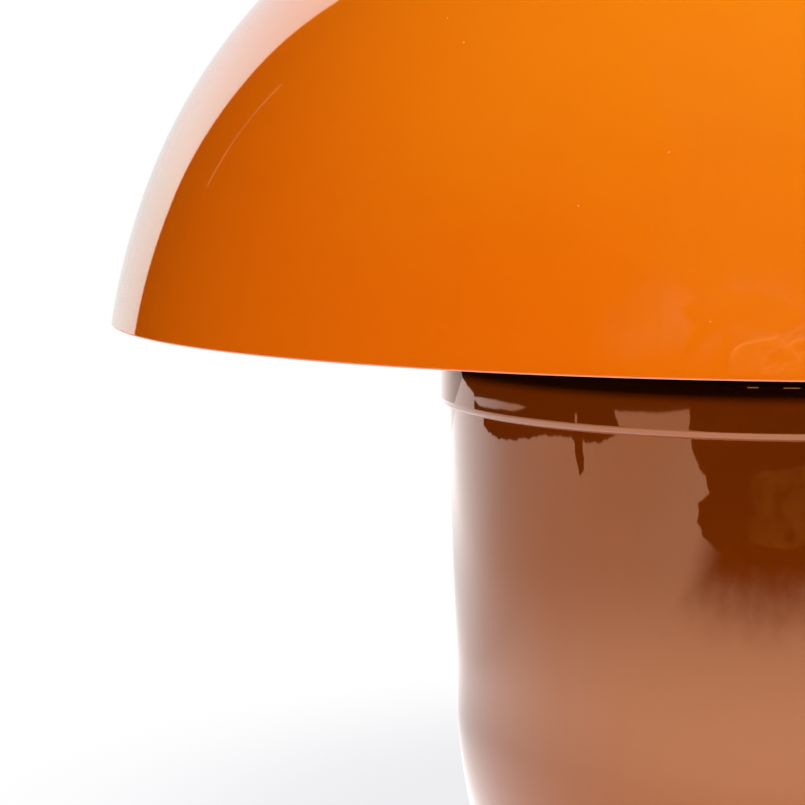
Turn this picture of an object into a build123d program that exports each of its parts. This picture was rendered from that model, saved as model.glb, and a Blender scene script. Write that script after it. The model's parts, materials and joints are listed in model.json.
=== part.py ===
from build123d import *
import os
from math import cos, radians, sin, sqrt, tan

# Mushroom lamp: a spun dome shade stands on three posts over a squat spun body with a lid.
# Millimetres. +Z is up, the origin is on the floor below the middle of the body, +Y is the rear.

os.makedirs("parts", exist_ok=True)

# ---- Shade: a dome of three tangent arcs ----
shade_rim_radius = 300.0
shade_rim_height = 262.0  # of the rim above the floor
shade_wall = 1.5
rim_rounding = 0.49  # of each edge of the rim, as a share of the wall
rim_lean = 9.7  # degrees that the wall leans in at the rim
skirt_arc_radius = 332.0
skirt_arc_end = 20.4  # degrees of the surface's normal above level
shoulder_arc_radius = 252.0
shoulder_arc_end = 60.0

# ---- Body: a spun cup with a rounded foot ----
body_height = 247.0  # of the cup's mouth above the floor
body_mouth_radius = 148.0
body_taper = 1.87  # degrees that the wall draws in towards the floor
body_wall = 1.5
straight_wall_bottom = 82.0  # height where the straight wall ends
belly_arc_radius = 257.0
belly_arc_end = 12.5  # degrees of the surface's normal below level
recess_radius = 26.0  # pushed-up middle of the cup's floor
recess_depth = 12.0
recess_bend = 3.0
lip_width = 22.0  # of the cup's mouth, turned in to carry the lid

# ---- Lid: its skirt is the cuff round the top of the body ----
lid_wall = 1.5
lid_shoulder_radius = 5.0
cuff_depth = 25.7
cuff_roll_radius = 4.0  # of the lower edge, rolled in against the body
cuff_clearance = 0.15

# ---- Foot ring and ballast ----
soft_edge = 0.8  # of the foot ring, ballast, post collars and screw heads
foot_height = 5.0
foot_width = 32.0
foot_inset = 3.0  # from the edge of the cup's flat
ballast_inset = 5.0  # from the edge of the cup's flat
ballast_height = 20.0
ballast_clearance = 4.0  # round the recess
clamp_plate_radius = 60.0
clamp_plate_thickness = 3.0

# ---- Tie tube with its nuts and washers ----
tube_radius = 5.0
tube_bore_radius = 3.75
tube_nut_flats = 14.0
tube_nut_height = 4.0
tube_washer_radius = 12.0
tube_washer_thickness = 1.6
tube_end_length = 1.2  # of tube that shows past the bottom nut
window_height = 62.0  # middle of the wire window above the floor
window_length = 30.0
window_width = 6.6
thread_clearance = 0.05
hole_clearance = 0.3

# ---- Posts that carry the shade ----
post_count = 3
post_circle_radius = 110.0
post_radius = 4.0
post_collar_radius = 9.0
post_collar_height = 4.0
post_stud_radius = 3.0
post_stud_length = 10.0
post_neck_radius = 3.0
post_neck_length = 14.0
tip_radius = 5.0
tip_top = 1.5  # thickness of rubber over the post's end
post_nut_flats = 10.0
post_nut_height = 5.0
post_washer_radius = 6.0
post_washer_thickness = 1.2

# ---- Sockets bonded inside the shade ----
socket_wall = 2.7
socket_clearance = 0.3
socket_depth = 13.0
socket_roof = 2.5  # left over the bore where the dome is lowest
socket_flange_radius = 15.0
socket_flange_thickness = 2.5
bond_gap = 0.3  # filled with adhesive

# ---- Lampholder ----
holder_radius = 20.0
holder_wall = 2.0
holder_bend = 4.0
holder_neck_height = 9.0
holder_flare_height = 20.0
holder_base_height = 30.0
holder_height = 60.0
holder_lip_clearance = 1.2  # round the bulb's screw cap
holder_gap = 0.4  # between the nut and the holder
holder_terminal_offset = 8.0
insert_bottom = 23.0  # above the holder's foot
insert_top = 36.0
insert_clearance = 0.2
sleeve_clearance = 0.1
sleeve_wall = 0.5
contact_strip_length = 14.0
contact_strip_width = 5.0
contact_strip_thickness = 0.6
contact_strip_rise = 2.0
contact_crest_width = 4.7  # of the strip's raised middle

# ---- Bulb ----
bulb_radius = 30.0
bulb_length = 104.0
bulb_neck_radius = 12.5
bulb_glass_wall = 1.0
bulb_neck_bottom = 20.0  # above the bulb's tip
bulb_neck_top = 31.0
screw_cap_radius = 13.15
screw_cap_wall = 0.4
screw_cap_top = 27.0
screw_cap_bottom = 8.0
insulator_radius = 9.0
insulator_top = 4.5
insulator_foot_radius = 5.5
tip_contact_radius = 4.5
tip_contact_height = 2.0
tip_contact_bend = 1.4
tip_gap = 0.05

# ---- Cable inlet ----
inlet_angle = 10.5  # degrees below level, where it leaves the belly of the cup
inlet_bore_radius = 3.4
inlet_body_radius = 6.0
inlet_flange_radius = 9.0
inlet_flange_thickness = 2.5
inlet_groove_play = 0.5
inlet_fit = 0.1
inlet_edge = 1.0

# ---- Terminal block and leads ----
block_distance = 38.0  # from the lamp's axis
block_width = 20.0
block_length = 37.0
block_height = 16.0
block_edge = 1.5
pole_spacing = 11.0
pole_height = 7.5
pole_bore_radius = 1.9
pole_sleeve_radius = 3.1
terminal_screw_radius = 1.5
terminal_screw_offset = 5.0  # of each screw from its pole's middle
terminal_screw_sink = 1.0
block_screw_radius = 1.5
block_screw_head_radius = 2.1
block_screw_head_height = 1.8
block_screw_sink = 3.6  # of the heads' seats below the block's top
lead_radius = 1.1
lead_spacing = 3.4  # between the two leads in the tube
lead_bend = 7.0
earth_lead_bend = 5.6
lead_run = 9.0  # straight out of the block
lead_grip = 3.0  # of each lead's end past the middle of its pole
earth_screw_x = 18.0
earth_screw_y = 36.0
earth_screw_radius = 2.0
earth_screw_head_radius = 3.8
earth_screw_head_height = 2.4
earth_tag_radius = 4.5
earth_tag_thickness = 0.8
earth_barrel_radius = 1.8
earth_barrel_length = 7.0


def on_arc(centre, radius, angle):
    """Point of a profile arc whose outward normal stands at an angle above level."""
    return (centre[0] + radius * cos(radians(angle)), centre[1] + radius * sin(radians(angle)))


def write(piece, name):
    """Label a finished piece and save it under the same name."""
    piece.part.label = name
    export_step(piece.part, f"parts/{name}.step")


# ---- Shade ----
rim_point = (shade_rim_radius, shade_rim_height)
skirt_centre = on_arc(rim_point, -skirt_arc_radius, rim_lean)
skirt_end = on_arc(skirt_centre, skirt_arc_radius, skirt_arc_end)
shoulder_centre = on_arc(skirt_end, -shoulder_arc_radius, skirt_arc_end)
shoulder_end = on_arc(shoulder_centre, shoulder_arc_radius, shoulder_arc_end)
crown_arc_radius = shoulder_end[0] / cos(radians(shoulder_arc_end))
crown_centre = (0, shoulder_end[1] - crown_arc_radius * sin(radians(shoulder_arc_end)))
crown_top = crown_centre[1] + crown_arc_radius


def dome_line(inset):
    """The dome's profile from rim to crown, moved inwards by a distance."""
    CenterArc(skirt_centre, skirt_arc_radius - inset, rim_lean, skirt_arc_end - rim_lean)
    CenterArc(shoulder_centre, shoulder_arc_radius - inset, skirt_arc_end, shoulder_arc_end - skirt_arc_end)
    CenterArc(crown_centre, crown_arc_radius - inset, shoulder_arc_end, 90 - shoulder_arc_end)


def dome_height(radius, inset):
    """Height of the dome's surface at a radius, moved inwards by a distance."""
    centre, arc_radius = crown_centre, crown_arc_radius - inset
    if radius > arc_radius * cos(radians(shoulder_arc_end)):
        centre, arc_radius = shoulder_centre, shoulder_arc_radius - inset
    return centre[1] + sqrt(arc_radius**2 - (radius - centre[0]) ** 2)


with BuildPart() as shade:
    with BuildSketch(Plane.XZ) as shade_profile:
        with BuildLine():
            dome_line(0)
            dome_line(shade_wall)
            Line(rim_point, on_arc(rim_point, -shade_wall, rim_lean))
            Line((0, crown_top - shade_wall), (0, crown_top))
        make_face()
        # The rim's edge is fully rounded.
        fillet(shade_profile.vertices().sort_by(Axis.Y)[:2], shade_wall * rim_rounding)
    revolve(axis=Axis.Z)
write(shade, "shade")

# ---- Shade sockets: flanged cups whose tops follow the dome ----
socket_bore_radius = tip_radius + socket_clearance
socket_radius = socket_bore_radius + socket_wall
dome_inset = shade_wall + bond_gap
socket_seat = dome_height(post_circle_radius + socket_bore_radius, dome_inset) - socket_roof
socket_bottom = socket_seat - socket_depth
post_angles = [90 + turn * 360 / post_count for turn in range(post_count)]
post_places = [(post_circle_radius * cos(radians(angle)), post_circle_radius * sin(radians(angle)))
               for angle in post_angles]


def dome_solid(inset):
    """Solid that fills the dome up to its inner surface, moved inwards by a distance."""
    rim = on_arc(rim_point, -inset, rim_lean)
    with BuildPart(mode=Mode.PRIVATE) as space:
        with BuildSketch(Plane.XZ):
            with BuildLine():
                dome_line(inset)
                Polyline(rim, (0, rim[1]), (0, crown_top - inset))
            make_face()
        revolve(axis=Axis.Z)
    return space.part


socket_space = dome_solid(dome_inset)
flange_underside = dome_solid(dome_inset + socket_flange_thickness)

for number, place in enumerate(post_places, start=1):
    with BuildPart() as shade_socket:
        with BuildSketch(Plane.XY.offset(socket_bottom)):
            with Locations(place):
                Circle(socket_flange_radius)
        extrude(amount=crown_top - socket_bottom)
        add(flange_underside, mode=Mode.SUBTRACT)
        with BuildSketch(Plane.XY.offset(socket_bottom)):
            with Locations(place):
                Circle(socket_radius)
        extrude(amount=crown_top - socket_bottom)
        add(socket_space, mode=Mode.INTERSECT)
        with BuildSketch(Plane.XY.offset(socket_bottom)):
            with Locations(place):
                Circle(socket_bore_radius)
        extrude(amount=socket_depth, mode=Mode.SUBTRACT)
    write(shade_socket, f"shade_socket_{number}")

# ---- Body shell: the spun cup ----
cup_floor = foot_height
recess_top = cup_floor + recess_depth
wall_slope = tan(radians(body_taper))
straight_end = (body_mouth_radius - (body_height - straight_wall_bottom) * wall_slope, straight_wall_bottom)
belly_centre = on_arc(straight_end, -belly_arc_radius, -body_taper)
belly_end = on_arc(belly_centre, belly_arc_radius, -belly_arc_end)
corner_radius = (belly_end[1] - cup_floor) / (1 - sin(radians(belly_arc_end)))
corner_centre = on_arc(belly_end, -corner_radius, -belly_arc_end)
flat_radius = corner_centre[0]
tube_hole_radius = tube_radius + hole_clearance

# The lip's bend is as large as the lid's shoulder, so the lid drops over it.
lip_radius = lid_shoulder_radius
lip_start_height = body_height - lip_radius * (1 + sin(radians(body_taper)))
lip_start = (body_mouth_radius - (body_height - lip_start_height) * wall_slope, lip_start_height)
lip_centre = on_arc(lip_start, -lip_radius, -body_taper)
lip_end = body_mouth_radius - lip_width

inlet_point = on_arc(belly_centre, belly_arc_radius, -inlet_angle)
inlet_plane = Plane(
    origin=(0, inlet_point[0], inlet_point[1]),
    x_dir=(1, 0, 0),
    z_dir=(0, cos(radians(inlet_angle)), -sin(radians(inlet_angle))),
)


def cup_line(inset):
    """The cup's profile from the middle of its floor to its lip, moved inwards by a distance."""
    Line((tube_hole_radius, recess_top + inset), (recess_radius - recess_bend, recess_top + inset))
    CenterArc((recess_radius - recess_bend, recess_top - recess_bend), recess_bend + inset, 0, 90)
    Line((recess_radius + inset, recess_top - recess_bend), (recess_radius + inset, cup_floor + recess_bend))
    CenterArc((recess_radius + recess_bend, cup_floor + recess_bend), recess_bend - inset, 180, 90)
    Line((recess_radius + recess_bend, cup_floor + inset), (flat_radius, cup_floor + inset))
    CenterArc(corner_centre, corner_radius - inset, 270, 90 - belly_arc_end)
    CenterArc(belly_centre, belly_arc_radius - inset, -belly_arc_end, belly_arc_end - body_taper)
    Line(on_arc(belly_centre, belly_arc_radius - inset, -body_taper),
         on_arc(lip_centre, lip_radius - inset, -body_taper))
    CenterArc(lip_centre, lip_radius - inset, -body_taper, 90 + body_taper)
    Line((lip_centre[0], body_height - inset), (lip_end, body_height - inset))


with BuildPart() as body_shell:
    with BuildSketch(Plane.XZ):
        with BuildLine():
            cup_line(0)
            cup_line(body_wall)
            Line((tube_hole_radius, recess_top), (tube_hole_radius, recess_top + body_wall))
            Line((lip_end, body_height - body_wall), (lip_end, body_height))
        make_face()
    revolve(axis=Axis.Z)
    with BuildSketch(inlet_plane):
        Circle(inlet_body_radius + inlet_fit)
    extrude(amount=inlet_flange_radius, both=True, mode=Mode.SUBTRACT)
write(body_shell, "body_shell")

# ---- Lid with its cuff ----
lid_top = body_height + lid_wall
cuff_bottom = lid_top - cuff_depth
body_radius_at_cuff = body_mouth_radius - (body_height - cuff_bottom) * wall_slope
cuff_radius = body_radius_at_cuff + cuff_clearance + cuff_roll_radius


def lid_line(inset):
    """The lid's profile from its middle to the end of the rolled edge, moved inwards by a distance."""
    shoulder = (cuff_radius - lid_shoulder_radius, lid_top - lid_shoulder_radius)
    roll = (cuff_radius - cuff_roll_radius, cuff_bottom + cuff_roll_radius)
    Line((tube_hole_radius, lid_top - inset), (shoulder[0], lid_top - inset))
    CenterArc(shoulder, lid_shoulder_radius - inset, 0, 90)
    Line((cuff_radius - inset, shoulder[1]), (cuff_radius - inset, roll[1]))
    CenterArc(roll, cuff_roll_radius - inset, 270, 90)


with BuildPart() as lid:
    with BuildSketch(Plane.XZ):
        with BuildLine():
            lid_line(0)
            lid_line(lid_wall)
            Line((tube_hole_radius, lid_top - lid_wall), (tube_hole_radius, lid_top))
            Line((cuff_radius - cuff_roll_radius, cuff_bottom),
                 (cuff_radius - cuff_roll_radius, cuff_bottom + lid_wall))
        make_face()
    revolve(axis=Axis.Z)
    with BuildSketch(Plane.XY.offset(lid_top)):
        with Locations(post_places):
            Circle(post_stud_radius + hole_clearance)
    extrude(amount=-2 * lid_wall, mode=Mode.SUBTRACT)
write(lid, "lid")

# ---- Foot ring, ballast and the plate that clamps it ----
foot_radius = flat_radius - foot_inset
with BuildPart() as foot_ring:
    with BuildSketch(Plane.XY):
        Circle(foot_radius)
        Circle(foot_radius - foot_width, mode=Mode.SUBTRACT)
    extrude(amount=foot_height)
    fillet(foot_ring.edges().group_by(Axis.Z)[0], soft_edge)
write(foot_ring, "foot_ring")

ballast_bottom = cup_floor + body_wall
ballast_top = ballast_bottom + ballast_height
with BuildPart() as ballast:
    with BuildSketch(Plane.XY.offset(ballast_bottom)):
        Circle(flat_radius - ballast_inset)
        Circle(recess_radius + body_wall + ballast_clearance, mode=Mode.SUBTRACT)
    extrude(amount=ballast_height)
    chamfer(ballast.edges().group_by(Axis.Z)[-1], soft_edge)
write(ballast, "ballast")

clamp_top = ballast_top + clamp_plate_thickness
block_screw_places = [(block_distance, side * pole_spacing / 2) for side in (-1, 1)]
with BuildPart() as clamp_plate:
    with BuildSketch(Plane.XY.offset(ballast_top)):
        Circle(clamp_plate_radius)
        Circle(tube_hole_radius, mode=Mode.SUBTRACT)
        with Locations(block_screw_places):
            Circle(block_screw_radius + thread_clearance, mode=Mode.SUBTRACT)
        with Locations((earth_screw_x, earth_screw_y)):
            Circle(earth_screw_radius + thread_clearance, mode=Mode.SUBTRACT)
    extrude(amount=clamp_plate_thickness)
write(clamp_plate, "clamp_plate")

# ---- Tie tube, with nuts under the recess, over the clamp plate and over the lid ----
bottom_washer_bottom = recess_top - tube_washer_thickness
bottom_nut_bottom = bottom_washer_bottom - tube_nut_height
holder_foot = lid_top + tube_washer_thickness + tube_nut_height + holder_gap
tube_top = holder_foot + holder_neck_height
tube_bottom = bottom_nut_bottom - tube_end_length
with BuildPart() as tie_tube:
    with BuildSketch(Plane.XY.offset(tube_bottom)):
        Circle(tube_radius)
        Circle(tube_bore_radius, mode=Mode.SUBTRACT)
    extrude(amount=tube_top - tube_bottom)
    with BuildSketch(Plane.YZ):
        with Locations((0, window_height)):
            SlotOverall(window_length, window_width, rotation=90)
    extrude(amount=2 * tube_radius, mode=Mode.SUBTRACT)
write(tie_tube, "tie_tube")

with BuildPart() as tube_nuts:
    for bottom in (bottom_nut_bottom, clamp_top + tube_washer_thickness, lid_top + tube_washer_thickness):
        with BuildSketch(Plane.XY.offset(bottom)):
            RegularPolygon(tube_nut_flats / 2, 6, major_radius=False)
            Circle(tube_radius + thread_clearance, mode=Mode.SUBTRACT)
        extrude(amount=tube_nut_height)
write(tube_nuts, "tube_nuts")

with BuildPart() as tube_washers:
    for bottom in (bottom_washer_bottom, clamp_top, lid_top):
        with BuildSketch(Plane.XY.offset(bottom)):
            Circle(tube_washer_radius)
            Circle(tube_hole_radius, mode=Mode.SUBTRACT)
        extrude(amount=tube_washer_thickness)
write(tube_washers, "tube_washers")

# ---- Posts, their rubber tips, washers and nuts ----
post_top = socket_seat - tip_top
post_shoulder = post_top - post_neck_length
for number, place in enumerate(post_places, start=1):
    with BuildPart() as carrier_post:
        with BuildSketch(Plane.XY.offset(lid_top)):
            with Locations(place):
                Circle(post_collar_radius)
        extrude(amount=post_collar_height)
        fillet(carrier_post.edges().group_by(Axis.Z)[-1], soft_edge)
        for bottom, top, radius in (
            (lid_top - post_stud_length, lid_top, post_stud_radius),
            (lid_top, post_shoulder, post_radius),
            (post_shoulder, post_top, post_neck_radius),
        ):
            with BuildSketch(Plane.XY.offset(bottom)):
                with Locations(place):
                    Circle(radius)
            extrude(amount=top - bottom)
    write(carrier_post, f"carrier_post_{number}")

    with BuildPart() as post_tip:
        with BuildSketch(Plane.XY.offset(post_shoulder)):
            with Locations(place):
                Circle(tip_radius)
        extrude(amount=socket_seat - post_shoulder)
        with BuildSketch(Plane.XY.offset(post_shoulder)):
            with Locations(place):
                Circle(post_neck_radius + thread_clearance)
        extrude(amount=post_top - post_shoulder, mode=Mode.SUBTRACT)
    write(post_tip, f"post_tip_{number}")

with BuildPart() as post_washers:
    with BuildSketch(Plane.XY.offset(body_height - post_washer_thickness)):
        with Locations(post_places):
            Circle(post_washer_radius)
            Circle(post_stud_radius + hole_clearance, mode=Mode.SUBTRACT)
    extrude(amount=post_washer_thickness)
write(post_washers, "post_washers")

with BuildPart() as post_nuts:
    with BuildSketch(Plane.XY.offset(body_height - post_washer_thickness - post_nut_height)):
        with Locations(post_places):
            RegularPolygon(post_nut_flats / 2, 6, major_radius=False)
            Circle(post_stud_radius + thread_clearance, mode=Mode.SUBTRACT)
    extrude(amount=post_nut_height)
write(post_nuts, "post_nuts")

# ---- Lampholder ----
holder_inner_radius = holder_radius - holder_wall
neck_radius = tube_radius + thread_clearance + holder_wall
holder_lip_radius = screw_cap_radius + holder_lip_clearance
with BuildPart() as holder_base:
    with BuildSketch(Plane.XZ):
        with BuildLine():
            FilletPolyline(
                (neck_radius, holder_foot),
                (neck_radius, holder_foot + holder_neck_height),
                (holder_radius, holder_foot + holder_flare_height),
                (holder_radius, holder_foot + holder_base_height),
                radius=holder_bend,
            )
            offset(amount=holder_wall, side=Side.LEFT)
        make_face()
    revolve(axis=Axis.Z)
write(holder_base, "holder_base")

with BuildPart() as holder_skirt:
    with BuildSketch(Plane.XZ):
        with BuildLine():
            FilletPolyline(
                (holder_radius, holder_foot + holder_base_height),
                (holder_radius, holder_foot + holder_height),
                (holder_lip_radius, holder_foot + holder_height),
                radius=holder_bend,
            )
            offset(amount=holder_wall, side=Side.LEFT)
        make_face()
    revolve(axis=Axis.Z)
write(holder_skirt, "holder_skirt")

insert_height = insert_top - insert_bottom
with BuildPart() as holder_insert:
    with BuildSketch(Plane.XY.offset(holder_foot + insert_bottom)):
        Circle(holder_inner_radius - insert_clearance)
        with Locations((0, holder_terminal_offset), (0, -holder_terminal_offset)):
            Circle(lead_radius + hole_clearance, mode=Mode.SUBTRACT)
    extrude(amount=insert_height)
    chamfer(holder_insert.edges().group_by(Axis.Z)[-1].sort_by(SortBy.LENGTH)[-1], block_edge)
write(holder_insert, "holder_insert")

sleeve_bottom = holder_foot + insert_top
sleeve_inner_radius = screw_cap_radius + sleeve_clearance
with BuildPart() as screw_sleeve:
    with BuildSketch(Plane.XY.offset(sleeve_bottom)):
        Circle(sleeve_inner_radius + sleeve_wall)
        Circle(sleeve_inner_radius, mode=Mode.SUBTRACT)
    extrude(amount=holder_foot + holder_height - holder_wall - insert_clearance - sleeve_bottom)
write(screw_sleeve, "screw_sleeve")

strip_end = contact_strip_length / 2
strip_crest = contact_crest_width / 2
with BuildPart() as centre_contact:
    with BuildSketch(Plane.XZ.offset(-contact_strip_width / 2)):
        with BuildLine():
            FilletPolyline(
                (-strip_end, sleeve_bottom),
                (-2 * strip_crest, sleeve_bottom),
                (-strip_crest, sleeve_bottom + contact_strip_rise),
                (strip_crest, sleeve_bottom + contact_strip_rise),
                (2 * strip_crest, sleeve_bottom),
                (strip_end, sleeve_bottom),
                radius=contact_strip_thickness,
            )
            offset(amount=contact_strip_thickness, side=Side.LEFT)
        make_face()
    extrude(amount=contact_strip_width)
write(centre_contact, "centre_contact")

# ---- Bulb ----
bulb_tip = sleeve_bottom + contact_strip_rise + contact_strip_thickness + tip_gap
globe_centre = bulb_tip + bulb_length - bulb_radius
flare_rise = globe_centre - bulb_tip - bulb_neck_top
flare_radius = (flare_rise**2 + bulb_neck_radius**2 - bulb_radius**2) / (2 * (bulb_radius - bulb_neck_radius))
flare_centre = (bulb_neck_radius + flare_radius, bulb_tip + bulb_neck_top)
flare_share = bulb_radius / (bulb_radius + flare_radius)
globe_join = (flare_centre[0] * flare_share, globe_centre - flare_rise * flare_share)
with BuildPart() as bulb_glass:
    with BuildSketch(Plane.XZ):
        with BuildLine():
            Line((bulb_neck_radius, bulb_tip + bulb_neck_bottom), (bulb_neck_radius, bulb_tip + bulb_neck_top))
            flare_start = (bulb_neck_radius, bulb_tip + bulb_neck_top)
            flare = TangentArc(flare_start, globe_join, tangent=(0, 1))
            TangentArc(globe_join, (0, globe_centre + bulb_radius), tangent=flare % 1)
            offset(amount=bulb_glass_wall, side=Side.LEFT)
        make_face()
    revolve(axis=Axis.Z)
write(bulb_glass, "bulb_glass")

with BuildPart() as bulb_screw_cap:
    with BuildSketch(Plane.XZ):
        with BuildLine():
            Polyline(
                (insulator_radius, bulb_tip + insulator_top),
                (screw_cap_radius, bulb_tip + screw_cap_bottom),
                (screw_cap_radius, bulb_tip + screw_cap_top),
                (screw_cap_radius - screw_cap_wall, bulb_tip + screw_cap_top),
                (screw_cap_radius - screw_cap_wall, bulb_tip + screw_cap_bottom),
                (insulator_radius - screw_cap_wall, bulb_tip + insulator_top),
                close=True,
            )
        make_face()
    revolve(axis=Axis.Z)
write(bulb_screw_cap, "bulb_screw_cap")

with BuildPart() as bulb_insulator:
    with BuildSketch(Plane.XZ):
        with BuildLine():
            Polyline(
                (0, bulb_tip + tip_contact_height + tip_gap),
                (insulator_foot_radius, bulb_tip + tip_contact_height + tip_gap),
                (insulator_radius, bulb_tip + insulator_top),
                (0, bulb_tip + insulator_top),
                close=True,
            )
        make_face()
    revolve(axis=Axis.Z)
write(bulb_insulator, "bulb_insulator")

with BuildPart() as bulb_contact:
    with BuildSketch(Plane.XY.offset(bulb_tip)):
        Circle(tip_contact_radius)
    extrude(amount=tip_contact_height)
    fillet(bulb_contact.edges().group_by(Axis.Z)[0], tip_contact_bend)
write(bulb_contact, "bulb_contact")

# ---- Cable inlet grommet in the rear of the cup ----
inlet_groove = body_wall + inlet_groove_play
with BuildPart() as cable_grommet:
    with BuildSketch(inlet_plane):
        Circle(inlet_flange_radius)
    extrude(amount=inlet_flange_thickness)
    fillet(cable_grommet.edges().sort_by(inlet_plane.location.z_axis)[-1], inlet_edge)
    with BuildSketch(inlet_plane):
        Circle(inlet_body_radius)
    extrude(amount=-inlet_groove)
    with BuildSketch(inlet_plane.offset(-inlet_groove)):
        Circle(inlet_flange_radius)
    extrude(amount=-inlet_flange_thickness)
    with BuildSketch(inlet_plane):
        Circle(inlet_bore_radius)
    extrude(amount=inlet_flange_radius, both=True, mode=Mode.SUBTRACT)
write(cable_grommet, "cable_grommet")

# ---- Terminal block on the clamp plate ----
pole_level = clamp_top + pole_height
block_top = clamp_top + block_height
block_inner_face = block_distance - block_width / 2
pole_places = [row * pole_spacing for row in (-1, 0, 1)]
screw_places = [(block_distance + side * terminal_screw_offset, y) for y in pole_places for side in (-1, 1)]
with BuildPart() as terminal_block:
    with BuildSketch(Plane.XY.offset(clamp_top)):
        with Locations((block_distance, 0)):
            Rectangle(block_width, block_length)
    extrude(amount=block_height)
    fillet(terminal_block.edges().filter_by(Axis.Z), block_edge)
    fillet(terminal_block.edges().group_by(Axis.Z)[-1], block_edge)
    with BuildSketch(Plane.YZ.offset(block_inner_face)):
        with Locations(*[(y, pole_level) for y in pole_places]):
            Circle(pole_sleeve_radius + thread_clearance)
    extrude(amount=block_width, mode=Mode.SUBTRACT)
    with BuildSketch(Plane.XY.offset(block_top)):
        with Locations(screw_places):
            Circle(terminal_screw_radius + hole_clearance)
    extrude(amount=pole_level - block_top, mode=Mode.SUBTRACT)
    with BuildSketch(Plane.XY.offset(block_top)):
        with Locations(block_screw_places):
            Circle(block_screw_radius + hole_clearance)
    extrude(amount=-block_height, mode=Mode.SUBTRACT)
    with BuildSketch(Plane.XY.offset(block_top)):
        with Locations(block_screw_places):
            Circle(block_screw_head_radius + hole_clearance)
    extrude(amount=-block_screw_sink, mode=Mode.SUBTRACT)
write(terminal_block, "terminal_block")

with BuildPart() as terminal_sleeves:
    with BuildSketch(Plane.YZ.offset(block_inner_face + block_edge)):
        with Locations(*[(y, pole_level) for y in pole_places]):
            Circle(pole_sleeve_radius)
            Circle(pole_bore_radius, mode=Mode.SUBTRACT)
    extrude(amount=block_width - 2 * block_edge)
    with BuildSketch(Plane.XY.offset(block_top)):
        with Locations(screw_places):
            Circle(terminal_screw_radius + thread_clearance)
    extrude(amount=pole_level - block_top, mode=Mode.SUBTRACT)
write(terminal_sleeves, "terminal_sleeves")

with BuildPart() as terminal_screws:
    with BuildSketch(Plane.XY.offset(pole_level + lead_radius + thread_clearance)):
        with Locations(screw_places):
            Circle(terminal_screw_radius)
    extrude(amount=block_top - terminal_screw_sink - pole_level - lead_radius - thread_clearance)
write(terminal_screws, "terminal_screws")

block_screw_seat = block_top - block_screw_sink
with BuildPart() as block_screws:
    with BuildSketch(Plane.XY.offset(ballast_top)):
        with Locations(block_screw_places):
            Circle(block_screw_radius)
    extrude(amount=block_screw_seat - ballast_top)
    with BuildSketch(Plane.XY.offset(block_screw_seat)):
        with Locations(block_screw_places):
            Circle(block_screw_head_radius)
    extrude(amount=block_screw_head_height)
write(block_screws, "block_screws")

# ---- Leads: two from the block up the tube to the holder, one to the earth tag ----
window_bottom = window_height - window_length / 2
window_top = window_height + window_length / 2
insert_underside = holder_foot + insert_bottom
lead_start = block_distance - lead_grip
lead_leave = block_inner_face - lead_run
for name, pole, side in (("live_lead", pole_places[0], -1), ("neutral_lead", pole_places[1], 1)):
    tube_place = side * lead_spacing / 2
    terminal_place = side * holder_terminal_offset
    with BuildPart() as lead:
        with BuildLine():
            route = FilletPolyline(
                (lead_start, pole, pole_level),
                (lead_leave, pole, pole_level),
                (tube_radius + lead_bend, tube_place, window_bottom),
                (0, tube_place, window_top),
                (0, tube_place, tube_top),
                (0, terminal_place, insert_underside),
                (0, terminal_place, insert_underside + insert_height / 2),
                radius=lead_bend,
            )
        with BuildSketch(Plane(origin=route @ 0, z_dir=route % 0)):
            Circle(lead_radius)
        sweep()
    write(lead, name)

barrel_level = clamp_top + earth_barrel_radius
barrel_start = earth_screw_y - earth_tag_radius - earth_barrel_length
with BuildPart() as earth_lead:
    with BuildLine():
        earth_route = FilletPolyline(
            (lead_start, pole_places[2], pole_level),
            (lead_leave, pole_places[2], pole_level),
            (earth_screw_x, barrel_start - earth_barrel_length / 2, barrel_level),
            (earth_screw_x, barrel_start + earth_barrel_length / 2, barrel_level),
            radius=earth_lead_bend,
        )
    with BuildSketch(Plane(origin=earth_route @ 0, z_dir=earth_route % 0)):
        Circle(lead_radius)
    sweep()
write(earth_lead, "earth_lead")

with BuildPart() as earth_tag:
    with BuildSketch(Plane.XY.offset(clamp_top)):
        with Locations((earth_screw_x, earth_screw_y)):
            Circle(earth_tag_radius)
        with Locations((earth_screw_x, earth_screw_y - earth_tag_radius)):
            Rectangle(2 * earth_barrel_radius, earth_tag_radius)
        with Locations((earth_screw_x, earth_screw_y)):
            Circle(earth_screw_radius + hole_clearance, mode=Mode.SUBTRACT)
    extrude(amount=earth_tag_thickness)
    with BuildSketch(Plane.XZ.offset(-barrel_start)):
        with Locations((earth_screw_x, barrel_level)):
            Circle(earth_barrel_radius)
    extrude(amount=-earth_barrel_length)
    with BuildSketch(Plane.XZ.offset(-barrel_start)):
        with Locations((earth_screw_x, barrel_level)):
            Circle(lead_radius + thread_clearance)
    extrude(amount=-earth_barrel_length, mode=Mode.SUBTRACT)
write(earth_tag, "earth_tag")

with BuildPart() as earth_screw:
    with BuildSketch(Plane.XY.offset(ballast_top)):
        with Locations((earth_screw_x, earth_screw_y)):
            Circle(earth_screw_radius)
    extrude(amount=clamp_plate_thickness + earth_tag_thickness)
    with BuildSketch(Plane.XY.offset(clamp_top + earth_tag_thickness)):
        with Locations((earth_screw_x, earth_screw_y)):
            Circle(earth_screw_head_radius)
    extrude(amount=earth_screw_head_height)
    fillet(earth_screw.edges().group_by(Axis.Z)[-1], soft_edge)
write(earth_screw, "earth_screw")

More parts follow.
